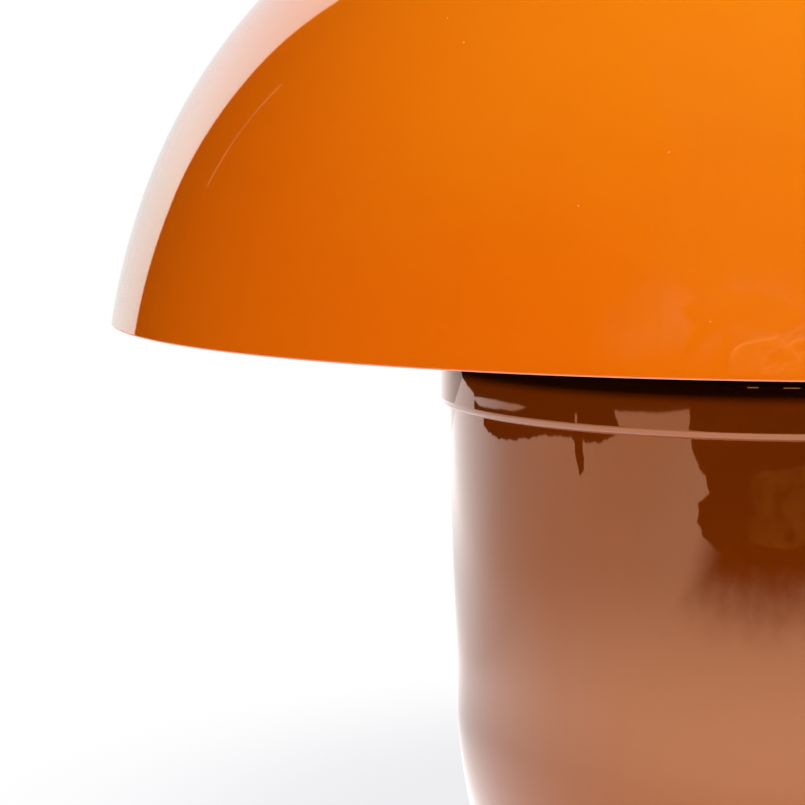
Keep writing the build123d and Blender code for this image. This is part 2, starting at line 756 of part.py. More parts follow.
print(f"top {crown_top:.2f}, cuff radius {cuff_radius:.2f}, cuff bottom {cuff_bottom:.2f}")
print(f"flat radius {flat_radius:.2f}, foot radius {foot_radius:.2f}, corner radius {corner_radius:.2f}")
print(f"socket bottom {socket_bottom:.2f}, socket seat {socket_seat:.2f}, bulb tip {bulb_tip:.2f}")
print(f"inlet origin {inlet_plane.origin}, axis {inlet_plane.z_dir}")
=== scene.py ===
import json
import random
from math import acos, atan2, cos, hypot, pi, radians, sin, tan
import bmesh
import bpy
from mathutils import Matrix, Vector


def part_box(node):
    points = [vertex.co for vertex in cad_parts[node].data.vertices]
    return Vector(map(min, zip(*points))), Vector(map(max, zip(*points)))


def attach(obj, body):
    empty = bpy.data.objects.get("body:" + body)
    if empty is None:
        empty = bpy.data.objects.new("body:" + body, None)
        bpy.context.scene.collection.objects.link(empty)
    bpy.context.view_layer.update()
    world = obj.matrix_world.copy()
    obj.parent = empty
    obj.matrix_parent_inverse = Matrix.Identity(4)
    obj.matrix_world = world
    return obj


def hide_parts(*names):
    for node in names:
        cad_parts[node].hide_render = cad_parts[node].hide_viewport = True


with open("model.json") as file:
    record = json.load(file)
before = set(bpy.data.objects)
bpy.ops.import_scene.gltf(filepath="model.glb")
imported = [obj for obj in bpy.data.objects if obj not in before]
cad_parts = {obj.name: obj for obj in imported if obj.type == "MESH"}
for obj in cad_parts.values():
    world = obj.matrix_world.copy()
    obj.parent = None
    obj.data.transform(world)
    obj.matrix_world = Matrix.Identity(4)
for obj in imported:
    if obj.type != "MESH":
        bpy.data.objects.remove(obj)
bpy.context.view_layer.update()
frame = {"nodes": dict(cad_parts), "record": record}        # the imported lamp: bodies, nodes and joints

print("frame loaded")


# Node trees: sockets that take part in sums, and one way to add a node

class Wire:
    def __init__(self, graph, socket):
        self.graph = graph
        self.socket = socket

    def __add__(self, other):
        return self.graph.sum("ADD", self, other)

    def __radd__(self, other):
        return self.graph.sum("ADD", other, self)

    def __sub__(self, other):
        return self.graph.sum("SUBTRACT", self, other)

    def __rsub__(self, other):
        return self.graph.sum("SUBTRACT", other, self)

    def __mul__(self, other):
        return self.graph.sum("MULTIPLY", self, other)

    def __rmul__(self, other):
        return self.graph.sum("MULTIPLY", other, self)

    def __truediv__(self, other):
        return self.graph.sum("DIVIDE", self, other)

    def __gt__(self, other):
        return self.graph.sum("GREATER_THAN", self, other)

    def __lt__(self, other):
        return self.graph.sum("LESS_THAN", self, other)


class Graph:
    def __init__(self, tree):
        self.tree = tree

    def add(self, kind, sockets=None, out=0, settings=None):
        node = self.tree.nodes.new(kind)
        for name, value in (settings or {}).items():
            setattr(node, name, value)
        for name, value in (sockets or {}).items():
            if isinstance(value, Wire):
                self.tree.links.new(value.socket, node.inputs[name])
            else:
                node.inputs[name].default_value = value
        return Wire(self, node.outputs[out]) if node.outputs else None

    def sum(self, operation, *values):
        return self.add("ShaderNodeMath", dict(enumerate(values)), 0, {"operation": operation})

    def blend(self, share, first, second):  # two colours, by a share from 0 to 1
        return self.add("ShaderNodeMix", {0: share, 6: first, 7: second}, 2, {"data_type": "RGBA"})

    def ramp(self, value, low, high):  # 0 below low, 1 above high, smooth between
        sockets = {"Value": value, "From Min": low, "From Max": high}
        return self.add("ShaderNodeMapRange", sockets, 0, {"interpolation_type": "SMOOTHSTEP"})

    def axis(self, vector, which):  # 0, 1 or 2 for x, y or z
        return self.add("ShaderNodeSeparateXYZ", {"Vector": vector}, which)

    def dot(self, first, second):
        settings = {"operation": "DOT_PRODUCT"}
        return self.add("ShaderNodeVectorMath", {0: first, 1: second}, "Value", settings)

    def grain(self, place, scale, detail=2.0, roughness=0.5):
        sockets = {"Vector": place, "Scale": scale, "Detail": detail, "Roughness": roughness}
        return self.add("ShaderNodeTexNoise", sockets)


def colour(red, green, blue):
    return (red, green, blue, 1.0)


white = colour(1, 1, 1)
black = colour(0, 0, 0)


def newMaterial(name):
    material = bpy.data.materials.new(name)
    material.use_nodes = True
    material.node_tree.nodes.clear()
    graph = Graph(material.node_tree)
    place = graph.add("ShaderNodeTexCoord", None, "Object")
    return material, graph, place


def coat(graph, sockets):  # ends a material with one Principled surface
    surface = graph.add("ShaderNodeBsdfPrincipled", sockets)
    graph.add("ShaderNodeOutputMaterial", {"Surface": surface})


def cloudedCoat(graph, s, clouds, more):  # colour and dullness both follow the clouds
    tone = graph.blend(clouds, s["deep"], s["light"])
    coat(graph, {"Base Color": tone, "Roughness": s["roughness"] + clouds * s["cloudDull"], **more})


def bump(graph, height, depth):
    return graph.add("ShaderNodeBump", {"Height": height, "Distance": depth, "Strength": 1.0})


# Finishes

orangeSettings = {
    "deep": colour(0.67, 0.114, 0.001), "light": colour(0.72, 0.200, 0.004),
    # painted light: the orange turns paler towards the way the key light falls from, between the two bounds
    # that follow
    "paintedLightWay": (0.10, -0.60, 0.80), "paintedLightFrom": 0.39, "paintedLightTo": 0.53,
    "cloudScale": 7.0, "cloudShift": 0.06,
    "speck": colour(0.95, 0.42, 0.16), "speckScale": 260.0, "speckSize": 0.11, "speckChance": 0.985,
    "speckShare": 0.5, "speckDull": 0.3, "roughness": 0.03, "cloudDull": 0.02, "ior": 1.5,
    "rimLow": 0.2621, "rimHigh": 0.2628, "rimDull": 0.55, "waveScale": 16.0, "waveDepth": 0.0002,
}


def orangeLacquer():
    s = orangeSettings
    material, graph, place = newMaterial("orangeLacquer")
    clouds = graph.grain(place, s["cloudScale"], 3.0)
    # painted light: towards the upper front, where the key light falls, the colour goes from the deep tone in
    # shade to the light tone where lit; the clouds break up the edge
    upper = graph.dot(place, s["paintedLightWay"])
    pale = graph.ramp(upper + clouds * s["cloudShift"], s["paintedLightFrom"], s["paintedLightTo"])
    body = graph.blend(pale, s["deep"], s["light"])
    cells = {"Vector": place, "Scale": s["speckScale"]}
    near = graph.add("ShaderNodeTexVoronoi", cells, "Distance")
    pick = graph.add("ShaderNodeTexVoronoi", cells, "Color")
    chance = graph.add("ShaderNodeSeparateColor", {"Color": pick})
    specks = (near < s["speckSize"]) * (chance > s["speckChance"])
    skin = graph.grain(place, s["waveScale"], 1.0)
    rim = 1 - graph.ramp(graph.axis(place, 2), s["rimLow"], s["rimHigh"])  # the rolled rim is a little dull
    dull = s["roughness"] + clouds * s["cloudDull"] + specks * s["speckDull"] + rim * s["rimDull"]
    coat(graph, {
        "Base Color": graph.blend(specks * s["speckShare"], body, s["speck"]),
        "Roughness": dull,
        "IOR": s["ior"],
        "Normal": bump(graph, skin, s["waveDepth"]),
    })
    return material


brownSettings = {
    "deep": colour(0.132, 0.0195, 0.0003), "light": colour(0.160, 0.0235, 0.0004),
    "tint": colour(1.0, 0.53, 0.29), "cloudScale": 9.0, "roughness": 0.012, "cloudDull": 0.012,
    "ior": 1.6, "waveScale": 20.0, "waveDepth": 0.00003,
    "shadeFrom": 0.2365, "shadeTo": 0.2420, "shade": 0.93,
}


def brownLacquer():
    s = brownSettings
    material, graph, place = newMaterial("brownLacquer")
    clouds = graph.grain(place, s["cloudScale"], 3.0)
    skin = graph.grain(place, s["waveScale"], 1.0)
    shaded = graph.ramp(graph.axis(place, 2), s["shadeFrom"], s["shadeTo"]) * s["shade"]  # under the rim
    tone = graph.blend(clouds, s["deep"], s["light"])
    coat(graph, {
        "Base Color": graph.blend(shaded, tone, black),
        "Roughness": s["roughness"] + clouds * s["cloudDull"],
        "IOR": s["ior"],
        "Specular Tint": s["tint"],
        "Normal": bump(graph, skin, s["waveDepth"]),
    })
    return material


insideSettings = {"deep": colour(0.012, 0.004, 0.002), "light": colour(0.026, 0.009, 0.004),
                  "cloudScale": 8.0, "roughness": 0.3, "cloudDull": 0.08, "spinScale": 900.0,
                  "spinDepth": 0.00001}


def insideLacquer():  # inside of the shade, dark as its reflection in the lid's shoulder shows
    s = insideSettings
    material, graph, place = newMaterial("insideLacquer")
    lines = graph.sum("SINE", graph.axis(place, 2) * s["spinScale"])  # faint rings left by spinning
    clouds = graph.grain(place, s["cloudScale"], 3.0)
    cloudedCoat(graph, s, clouds, {"Normal": bump(graph, lines, s["spinDepth"])})
    return material


def plainMetal(name, deep, light, roughness, scale, depth, metallic=1.0):
    material, graph, place = newMaterial(name)
    clouds = graph.grain(place, scale, 4.0)
    fine = graph.grain(place, scale * 9, 2.0)
    coat(graph, {
        "Base Color": graph.blend(clouds, deep, light),
        "Roughness": roughness + fine * 0.16,
        "Metallic": metallic,
        "Normal": bump(graph, fine, depth),
    })
    return material


brassSettings = {"deep": colour(0.55, 0.36, 0.12), "light": colour(0.80, 0.56, 0.23), "cloudScale": 60.0,
                 "roughness": 0.20, "cloudDull": 0.14, "lineScale": 5200.0, "lineDepth": 0.000006}


def brushedBrass():
    s = brassSettings
    material, graph, place = newMaterial("brushedBrass")
    lines = graph.sum("SINE", graph.axis(place, 2) * s["lineScale"])  # fine turning marks
    clouds = graph.grain(place, s["cloudScale"], 4.0)
    cloudedCoat(graph, s, clouds, {"Metallic": 1.0, "Normal": bump(graph, lines, s["lineDepth"])})
    return material


def softMatter(name, deep, light, roughness, scale, depth):  # felt, rubber, plastic and porcelain
    material, graph, place = newMaterial(name)
    clouds = graph.grain(place, scale, 5.0, 0.6)
    coat(graph, {
        "Base Color": graph.blend(clouds, deep, light),
        "Roughness": roughness + clouds * 0.1,
        "Normal": bump(graph, clouds, depth),
    })
    return material


glassSettings = {"deep": colour(0.84, 0.83, 0.79), "light": colour(0.92, 0.91, 0.88), "cloudScale": 30.0,
                 "roughness": 0.06, "cloudDull": 0.04, "depth": 0.25, "reach": (0.006, 0.005, 0.004)}


def opalGlass():
    s = glassSettings
    material, graph, place = newMaterial("opalGlass")
    clouds = graph.grain(place, s["cloudScale"], 2.0)
    cloudedCoat(graph, s, clouds, {"Subsurface Weight": s["depth"], "Subsurface Radius": s["reach"]})
    return material


weaveSettings = {"scale": 1400.0, "roughness": 0.75, "gapDull": 0.2, "depth": 0.00008}


def wovenSleeving(name, deep, light):
    s = weaveSettings
    material, graph, place = newMaterial(name)
    weave = graph.add("ShaderNodeTexVoronoi", {"Vector": place, "Scale": s["scale"]}, "Distance")
    coat(graph, {
        "Base Color": graph.blend(weave, light, deep),
        "Roughness": s["roughness"] + weave * s["gapDull"],
        "Normal": bump(graph, weave, s["depth"]),
    })
    return material


# after the two colours: roughness, grain scale, grain depth, and for iron a lower metallic share
metalFinishes = {
    "cast_iron": ("castIron", (0.05, 0.05, 0.05), (0.12, 0.115, 0.11), 0.6, 90.0, 0.0002, 0.6),
    "zinc_steel": ("zincSteel", (0.48, 0.48, 0.47), (0.66, 0.66, 0.63), 0.26, 140.0, 0.00001),
    "bulb_alloy": ("bulbAlloy", (0.60, 0.60, 0.60), (0.76, 0.76, 0.75), 0.2, 200.0, 0.00001),
    "solder": ("solder", (0.42, 0.42, 0.42), (0.60, 0.60, 0.60), 0.32, 500.0, 0.00008),
}
softFinishes = {
    "felt": ("greyFelt", (0.02, 0.018, 0.016), (0.06, 0.055, 0.05), 0.85, 1500.0, 0.0006),
    "black_phenolic": ("blackPhenolic", (0.006, 0.006, 0.006), (0.02, 0.018, 0.016), 0.18, 220.0, 0.00002),
    "porcelain": ("porcelain", (0.78, 0.77, 0.73), (0.88, 0.87, 0.84), 0.12, 60.0, 0.00003),
    "black_rubber": ("blackRubber", (0.012, 0.012, 0.012), (0.03, 0.03, 0.03), 0.5, 600.0, 0.00003),
    "white_rubber": ("whiteRubber", (0.62, 0.60, 0.55), (0.74, 0.72, 0.67), 0.5, 400.0, 0.00003),
}
sleevingFinishes = {
    "brown_sleeving": ("brownSleeving", (0.06, 0.025, 0.010), (0.13, 0.06, 0.03)),
    "blue_sleeving": ("blueSleeving", (0.01, 0.05, 0.20), (0.03, 0.11, 0.36)),
    "green_sleeving": ("greenSleeving", (0.05, 0.20, 0.03), (0.45, 0.42, 0.03)),
}
finishes = {
    "orange_lacquer": orangeLacquer(),
    "brown_lacquer": brownLacquer(),
    "brass": brushedBrass(),
    "opal_glass": opalGlass(),
}
for make, table in ((plainMetal, metalFinishes), (softMatter, softFinishes),
                    (wovenSleeving, sleevingFinishes)):
    for slot, (name, deep, light, *numbers) in table.items():
        finishes[slot] = make(name, colour(*deep), colour(*light), *numbers)
insideFinish = insideLacquer()
nodeSlots = {part["node"]: part["material_slot"] for part in frame["record"]["subparts"]}
for nodeName, nodeObject in frame["nodes"].items():
    if not nodeObject.material_slots:
        nodeObject.data.materials.append(None)
    for slot in nodeObject.material_slots:
        slot.link = "OBJECT"
        slot.material = finishes[nodeSlots[nodeName]]
print("finishes made")


def addObject(name, data):
    made = bpy.data.objects.new(name, data)
    bpy.context.scene.collection.objects.link(made)
    return made


def aim(piece, place, way):
    piece.location = place
    piece.rotation_mode = "QUATERNION"
    piece.rotation_quaternion = Vector(way).to_track_quat("-Z", "Y")


cameraSettings = {"place": (0.0, -1.08, 0.33896), "aim": (-0.1548, 0.9820, -0.1085),
                  "lens": 104.03, "sensor": 36.0}
camera = addObject("camera", bpy.data.cameras.new("camera"))
camera.data.lens = cameraSettings["lens"]
camera.data.sensor_width = cameraSettings["sensor"]
aim(camera, cameraSettings["place"], cameraSettings["aim"])
bpy.context.scene.camera = camera
bpy.context.scene.view_settings.view_transform = "Standard"


# Stage: pale floor, and the surroundings that only the lacquer's reflections see

floorSettings = {"size": 14.0, "tone": colour(0.88, 0.89, 0.94), "paintedShadowTone": colour(0.972, 0.968, 1.0),
                 "shadowShare": 0.15, "nearFrom": 0.20, "nearTo": 0.45, "bounce": 1.9, "bounceFrom": 0.4,
                 "bounceTo": 0.7, "dark": 0.004}


def addStage(name, corners, material, onlyReflected=True):
    mesh = bpy.data.meshes.new(name)
    mesh.from_pydata(corners, [], [tuple(range(len(corners)))])
    mesh.materials.append(material)
    piece = addObject(name, mesh)
    if onlyReflected:
        piece.visible_camera = False
        piece.visible_diffuse = False
        piece.visible_shadow = False


def standing(left, right, low, high):  # corners of an upright card between two floor places
    return [(*left, low), (*right, low), (*right, high), (*left, high)]


def ragged(outline, step, depth, height):  # a sheet's outline with torn edges, seeded
    dice = random.Random(11)
    corners = []
    for start, end in zip(outline, outline[1:] + outline[:1]):
        count = max(1, round(hypot(end[0] - start[0], end[1] - start[1]) / step))
        for k in range(count):
            x = start[0] + (end[0] - start[0]) * k / count
            y = start[1] + (end[1] - start[1]) * k / count
            corners.append((x + dice.uniform(-depth, depth), y + dice.uniform(-depth, depth), height))
    return corners


def plainTone(red, green, blue):
    return lambda graph, place: colour(red, green, blue)


def glowMaterial(name, strength, tone=plainTone(1, 1, 1)):
    material, graph, place = newMaterial(name)
    sockets = {"Color": tone(graph, place), "Strength": strength(graph, place)}
    glow = graph.add("ShaderNodeEmission", sockets)
    graph.add("ShaderNodeOutputMaterial", {"Surface": glow})
    return material


def mixShaders(graph, share, first, second):
    return graph.add("ShaderNodeMixShader", {0: share, 1: first, 2: second})


def distance(graph, place):
    return graph.add("ShaderNodeVectorMath", {0: place}, "Value", {"operation": "LENGTH"})


def floorMaterial():
    s = floorSettings
    material, graph, place = newMaterial("paleFloor")
    away = distance(graph, place)
    mirrored = graph.add("ShaderNodeLightPath", None, "Is Glossy Ray")
    seen = graph.add("ShaderNodeLightPath", None, "Is Camera Ray")
    matt = graph.add("ShaderNodeBsdfDiffuse", {"Color": s["tone"]})
    clear = graph.ramp(away, s["nearFrom"], s["nearTo"])  # 0 in the lamp's shadow
    # painted shadow: near the lamp the floor's glow takes a darker, bluer tone
    pale = graph.add("ShaderNodeEmission", {"Color": graph.blend(clear, s["paintedShadowTone"], white)})
    shown = mixShaders(graph, 1 - s["shadowShare"] * (1 - clear), matt, pale)
    near = 1 - graph.ramp(away, s["bounceFrom"], s["bounceTo"])
    glow = graph.add("ShaderNodeEmission", {"Strength": s["bounce"] * near})
    lit = graph.add("ShaderNodeAddShader", {0: matt, 1: glow})
    dark = graph.add("ShaderNodeEmission", {"Strength": s["dark"]})
    whole = mixShaders(graph, seen, mixShaders(graph, mirrored, lit, dark), shown)
    graph.add("ShaderNodeOutputMaterial", {"Surface": whole})
    return material


half = floorSettings["size"] / 2
floorCorners = [(-half, -half, 0), (half, -half, 0), (half, half, 0), (-half, half, 0)]
addStage("floor", floorCorners, floorMaterial(), False)

# White paper round the lamp and dark floor past it, as the lacquer mirrors them; their torn edges show.
paperSettings = {
    "step": 0.026, "depth": 0.009, "height": 0.0006, "lift": 0.0002, "fine": 0.4,
    "behind": 1.2, "side": 1.05, "front": 1.1, "near": 3.3, "ownShade": 0.45,
    "sideX": (0.35, 0.75), "sideY": (-0.35, 0.10), "frontY": (-0.30, 0.60), "nearFade": (0.30, 0.85),
    "shadeFade": (0.32, 0.50), "behindNear": 0.25, "tornScale": 14.0, "tornDepth": 0.12,
    "tornFade": (-0.79, -0.53), "tornSides": (0.18, 0.36),
    "warm": colour(1.0, 0.85, 0.74), "warmX": (0.35, 0.9), "warmY": (-0.55, 0.0),
}
paperOutline = [
    (-2.02, 1.45), (-2.06, 0.99), (-1.40, 0.62), (-1.38, 0.31), (-1.39, -0.03), (-1.365, -0.26),
    (-1.31, -0.43), (-1.24, -0.55), (-1.08, -0.522), (-1.044, -0.519), (-1.034, -0.534),
    (-1.040, -0.556), (-1.062, -0.575), (-1.187, -0.621), (-1.13, -0.69), (-1.06, -0.80),
    (-1.02, -0.92), (-1.00, -1.02), (-1.01, -1.13), (-1.30, -1.34), (-1.70, -1.42), (-1.58, -1.55),
    (-1.46, -1.67), (-0.93, -2.06), (-0.53, -1.19), (-0.49, -1.15), (-0.38, -1.09), (-0.33, -1.03),
    (-0.37, -0.97), (-0.35, -0.91), (-0.31, -0.87), (-0.20, -0.85), (-0.11, -0.83), (0.0, -0.86),
    (0.16, -0.82), (0.36, -0.90), (0.5, -1.2), (0.9, -2.0), (1.6, -1.5), (2.0, -0.5), (2.0, 1.45)]
lensOutline = [
    (-2.00, 1.02), (-2.10, 0.80), (-2.18, 0.50), (-2.20, 0.25), (-2.20, 0.00), (-2.17, -0.17),
    (-2.12, 0.05), (-2.11, 0.30), (-2.05, 0.58), (-1.99, 0.80)]
sliverOutline = [(-1.62, -0.80), (-1.94, -0.93), (-1.93, -0.96), (-1.61, -0.83)]
dimOutline = [(-0.08, -0.91), (-0.12, -1.14), (0.00, -1.18), (0.45, -1.18), (0.38, -0.92), (0.14, -0.88)]


def paperGlow(graph, place):
    s = paperSettings
    x, y, away = graph.axis(place, 0), graph.axis(place, 1), distance(graph, place)
    side = graph.sum("MAXIMUM", graph.ramp(-1 * x, *s["sideX"]), graph.ramp(-1 * y, *s["sideY"]))
    near = 1 - graph.ramp(away, *s["nearFade"])
    front = graph.ramp(-1 * y, *s["frontY"])
    nearShare = s["behindNear"] + (1 - s["behindNear"]) * front
    # painted light and shade: the paper glows brighter to the side, in front and close in front of the lamp,
    # and is painted darker in the lamp's shade close behind it
    level = s["behind"] + s["side"] * side + s["front"] * front + s["near"] * near * nearShare
    level = level * (1 - s["ownShade"] * (1 - front) * (1 - graph.ramp(away, *s["shadeFade"])))
    torn = graph.ramp(y + graph.grain(place, s["tornScale"], 3.0) * s["tornDepth"], *s["tornFade"])
    return level * graph.sum("MAXIMUM", torn, graph.ramp(graph.sum("ABSOLUTE", x), *s["tornSides"]))


def paperTone(graph, place):  # warmer to the left, where it lies under warm light
    s = paperSettings
    left, front = -1 * graph.axis(place, 0), -1 * graph.axis(place, 1)
    return graph.blend(graph.ramp(left, *s["warmX"]) * graph.ramp(front, *s["warmY"]), white, s["warm"])


dimSettings = {"scale": 9.0, "clouds": (0.30, 0.6), "fadeIn": (-0.14, 0.02), "glow": 0.65}


def dimGlow(graph, place):  # fades in from its left edge
    s = dimSettings
    clouds = graph.ramp(graph.grain(place, s["scale"], 4.0), *s["clouds"])
    return clouds * graph.ramp(graph.axis(place, 0), *s["fadeIn"]) * s["glow"]


paper = glowMaterial("paperGlow", paperGlow, paperTone)
dimPaper = glowMaterial("dimPaper", dimGlow, plainTone(1.0, 0.7, 0.2))
for name, outline, sheetMaterial in (("paper", paperOutline, paper), ("lens", lensOutline, paper),
                                     ("sliver", sliverOutline, paper), ("dimSheet", dimOutline, dimPaper)):
    s = paperSettings
    fine, lift = (1.0, 0.0) if name == "paper" else (s["fine"], s["lift"])
    addStage(name, ragged(outline, s["step"] * fine, s["depth"] * fine, s["height"] + lift), sheetMaterial)

backdropSettings = {
    "back": 1.45, "low": 1.85, "lowLeft": -0.60, "lowLeftFade": (0.9, 1.75), "high": 1.15, "highLeft": 1.45,
    "highLeftFade": (0.55, 2.0), "rise": 0.18, "riseFade": (0.3, 0.9), "split": (0.10, 0.18),
    "lowTone": colour(1.0, 0.95, 0.92), "highTone": colour(0.90, 0.96, 0.98),
    "leftTone": colour(0.74, 0.94, 0.89), "toneFade": (0.6, 1.9),
}
backdropOutline = [(-2.02, 0.0), (2.0, 0.0), (2.0, 3.0), (-1.93, 3.0), (-1.93, 0.17), (-1.66, 0.12),
                   (-1.66, 0.08)]


def backdropGlow(graph, place):  # as bright as the white behind the lamp, brighter towards its left edge
    s = backdropSettings
    left, z = -1 * graph.axis(place, 0), graph.axis(place, 2)
    low = s["low"] + s["lowLeft"] * graph.ramp(left, *s["lowLeftFade"])
    high = s["high"] + s["highLeft"] * graph.ramp(left, *s["highLeftFade"])
    high = high * (1 - s["rise"] + s["rise"] * graph.ramp(z, *s["riseFade"]))
    return low + (high - low) * graph.ramp(z, *s["split"])


def backdropTone(graph, place):  # cooler higher up, where the shade mirrors it
    s = backdropSettings
    left, z = -1 * graph.axis(place, 0), graph.axis(place, 2)
    cool = graph.blend(graph.ramp(left, *s["toneFade"]), s["highTone"], s["leftTone"])
    return graph.blend(graph.ramp(z, *s["split"]), s["lowTone"], cool)


backdropCorners = [(x, backdropSettings["back"], z) for x, z in backdropOutline]
addStage("backdrop", backdropCorners, glowMaterial("backdropGlow", backdropGlow, backdropTone))

# a thin upright light left of the lamp, and two small glowing strips under the shade's rim, seen only in
# reflections, that paint golden glints on the lid's shoulder
stripGlow = glowMaterial("stripGlow", lambda graph, place: graph.grain(place, 3.0, 1.0) * 1.5,
                         plainTone(0.9, 1.0, 0.5))
addStage("lightStrip", standing((-2.34, 1.12), (-2.331, 1.133), 1.02, 1.75), stripGlow)
goldGlow = glowMaterial("goldGlow", lambda graph, place: graph.grain(place, 300.0, 1.0) * 14.0,
                        plainTone(1.0, 0.62, 0.16))
for name, left, right in (("glintLeft", -0.0140, -0.0062), ("glintRight", 0.0115, 0.0235)):
    addStage(name, standing((left, -0.205), (right, -0.205), 0.262, 0.271), goldGlow)

# a creased pale sheet far in front, as the dome mirrors it low down
clothSettings = {
    "back": -2.6, "low": 0.86, "scale": 5.0, "clouds": (0.2, 0.8), "veil": 0.5,
    "crease": 1.04, "creaseWidth": 0.03,
    "hem": 5.2, "hemScale": 9.0, "hemWidth": 0.012, "hemShift": 0.006, "hemGap": 0.002,
    "cloud": 0.22, "cloudScale": 2.2, "cloudFade": (0.30, 0.62), "cloudGap": -0.1,
}
clothTop = [(-0.25, 0.96), (-0.23, 1.02), (-0.18, 1.06), (-0.08, 1.085), (0.0, 1.10), (0.06, 1.105),
            (0.11, 1.08), (0.14, 1.05), (0.17, 1.09), (0.25, 1.115), (0.45, 1.12)]
cloudOutline = [(-0.62, 0.95), (-0.50, 1.05), (-0.40, 1.17), (-0.25, 1.24), (-0.10, 1.20), (0.10, 1.16),
                (0.30, 1.30), (0.10, 1.42), (-0.15, 1.50), (-0.45, 1.48), (-0.66, 1.36), (-0.55, 1.22)]


def clothGlow(graph, place):
    s = clothSettings
    swirl = graph.grain(place, s["scale"], 2.0)
    crease = 1 - graph.ramp(graph.sum("ABSOLUTE", swirl - 0.5), 0.0, s["creaseWidth"])
    return s["veil"] * graph.ramp(swirl, *s["clouds"]) + s["crease"] * crease


def hemGlow(graph, place):
    return graph.grain(place, clothSettings["hemScale"], 1.0) * clothSettings["hem"]


def cloudGlow(graph, place):
    s = clothSettings
    return s["cloud"] * graph.ramp(graph.grain(place, s["cloudScale"], 3.0), *s["cloudFade"])


def addCloths():
    s = clothSettings
    tone = plainTone(1.0, 0.74, 0.30)
    cloth = [(clothTop[0][0], s["low"])] + clothTop + [(clothTop[-1][0], s["low"])]
    hem = clothTop + [(x + s["hemShift"], z - s["hemWidth"]) for x, z in reversed(clothTop)]
    for name, outline, gap, glow in (("cloth", cloth, 0.0, clothGlow),
                                     ("clothHem", hem, s["hemGap"], hemGlow),
                                     ("paleCloud", cloudOutline, s["cloudGap"], cloudGlow)):
        corners = [(x, s["back"] + gap, z) for x, z in outline]
        addStage(name, corners, glowMaterial(glow.__name__, glow, tone))


addCloths()

lightSettings = [
    # name, place, target, width, height, power
    ("key", (0.30, -1.45, 2.75), (0, 0, 0.25), 2.2, 1.7, 82.0),
    ("lowKey", (-0.10, -2.60, 1.80), (0, 0, 0.15), 1.6, 1.0, 22.0),
    ("backFill", (0.3, 2.2, 2.0), (0, 0, 0.3), 2.4, 1.4, 8.0),
]
for name, place, target, width, height, power in lightSettings:
    light = bpy.data.lights.new(name, "AREA")
    light.shape = "RECTANGLE"
    light.size = width
    light.size_y = height
    light.energy = power
    lightObject = addObject(name, light)
    lightObject.visible_glossy = False
    aim(lightObject, place, Vector(target) - Vector(place))

worldSettings = {"fill": 0.10, "dark": 0.002, "cloud": 0.35, "cloudScale": 5.0, "cloudFade": (0.35, 0.7),
                 "lowEdge": (0.24, 0.34), "highEdge": (0.42, 0.60), "frontEdge": (-0.90, -0.80)}


def makeWorld():  # white to the camera, nearly dark to the lacquer but for a dim band in front
    s = worldSettings
    world = bpy.data.worlds.new("studio")
    bpy.context.scene.world = world
    world.use_nodes = True
    world.node_tree.nodes.clear()
    graph = Graph(world.node_tree)
    seen = graph.add("ShaderNodeLightPath", None, "Is Camera Ray")
    mirrored = graph.add("ShaderNodeLightPath", None, "Is Glossy Ray")
    way = graph.add("ShaderNodeTexCoord", None, "Generated")
    up, rear = graph.axis(way, 2), graph.axis(way, 1)
    band = graph.ramp(up, *s["lowEdge"]) * (1 - graph.ramp(up, *s["highEdge"]))
    band = band * (1 - graph.ramp(rear, *s["frontEdge"]))
    clouds = graph.ramp(graph.grain(way, s["cloudScale"], 3.0), *s["cloudFade"])
    mirror = s["dark"] + band * clouds * s["cloud"]
    strength = s["fill"] * (1 - mirrored) + mirror * mirrored
    strength = strength * (1 - seen) + seen
    light = graph.add("ShaderNodeBackground", {"Color": white, "Strength": strength})
    graph.add("ShaderNodeOutputWorld", {"Surface": light})


makeWorld()
print("stage set")


# Outlines of turned pieces, as (radius, height) points

def ease(t):
    return (1 - cos(pi * t)) / 2


# Runs have closer points at both ends, which keeps the shading true where they join.
def arcRun(centre, radius, start, end, steps):
    angles = [radians(start + (end - start) * ease(step / steps)) for step in range(steps + 1)]
    return [(centre[0] + radius * cos(angle), centre[1] + radius * sin(angle)) for angle in angles]


def lineRun(start, end, steps):
    shares = [ease(step / steps) for step in range(steps + 1)]
    return [(start[0] + (end[0] - start[0]) * t, start[1] + (end[1] - start[1]) * t) for t in shares]


def onArc(centre, radius, angle):
    return (centre[0] + radius * cos(radians(angle)), centre[1] + radius * sin(radians(angle)))


def chain(*runs):
    points = []
    for run in runs:
        for point in run:
            if not points or hypot(point[0] - points[-1][0], point[1] - points[-1][1]) > 1e-6:
                points.append(point)
    return points


def softCorners(corners, radius, steps=5, sideSteps=4):  # an open outline with every inner corner rounded
    runs = []
    here = corners[0]
    for before, corner, after in zip(corners, corners[1:], corners[2:]):
        toBefore = Vector((before[0] - corner[0], before[1] - corner[1]))
        toAfter = Vector((after[0] - corner[0], after[1] - corner[1]))
        back, on = toBefore.normalized(), toAfter.normalized()
        half = acos(max(-1, min(1, back.dot(on)))) / 2
        reach = min(radius / tan(half), 0.45 * toBefore.length, 0.45 * toAfter.length)
        bend = reach * tan(half)
        start = Vector(corner) + back * reach
        end = Vector(corner) + on * reach
        middle = Vector(corner) + (back + on).normalized() * bend / sin(half)
        first = atan2(start.y - middle.y, start.x - middle.x)
        last = atan2(end.y - middle.y, end.x - middle.x)
        turn = (last - first + pi) % (2 * pi) - pi
        angles = [first + turn * k / steps for k in range(steps + 1)]
        arc = [(middle.x + bend * cos(angle), middle.y + bend * sin(angle)) for angle in angles]
        runs += [lineRun(here, tuple(start), sideSteps), arc]
        here = tuple(end)
    return chain(*runs, lineRun(here, corners[-1], sideSteps))


# Geometry node trees

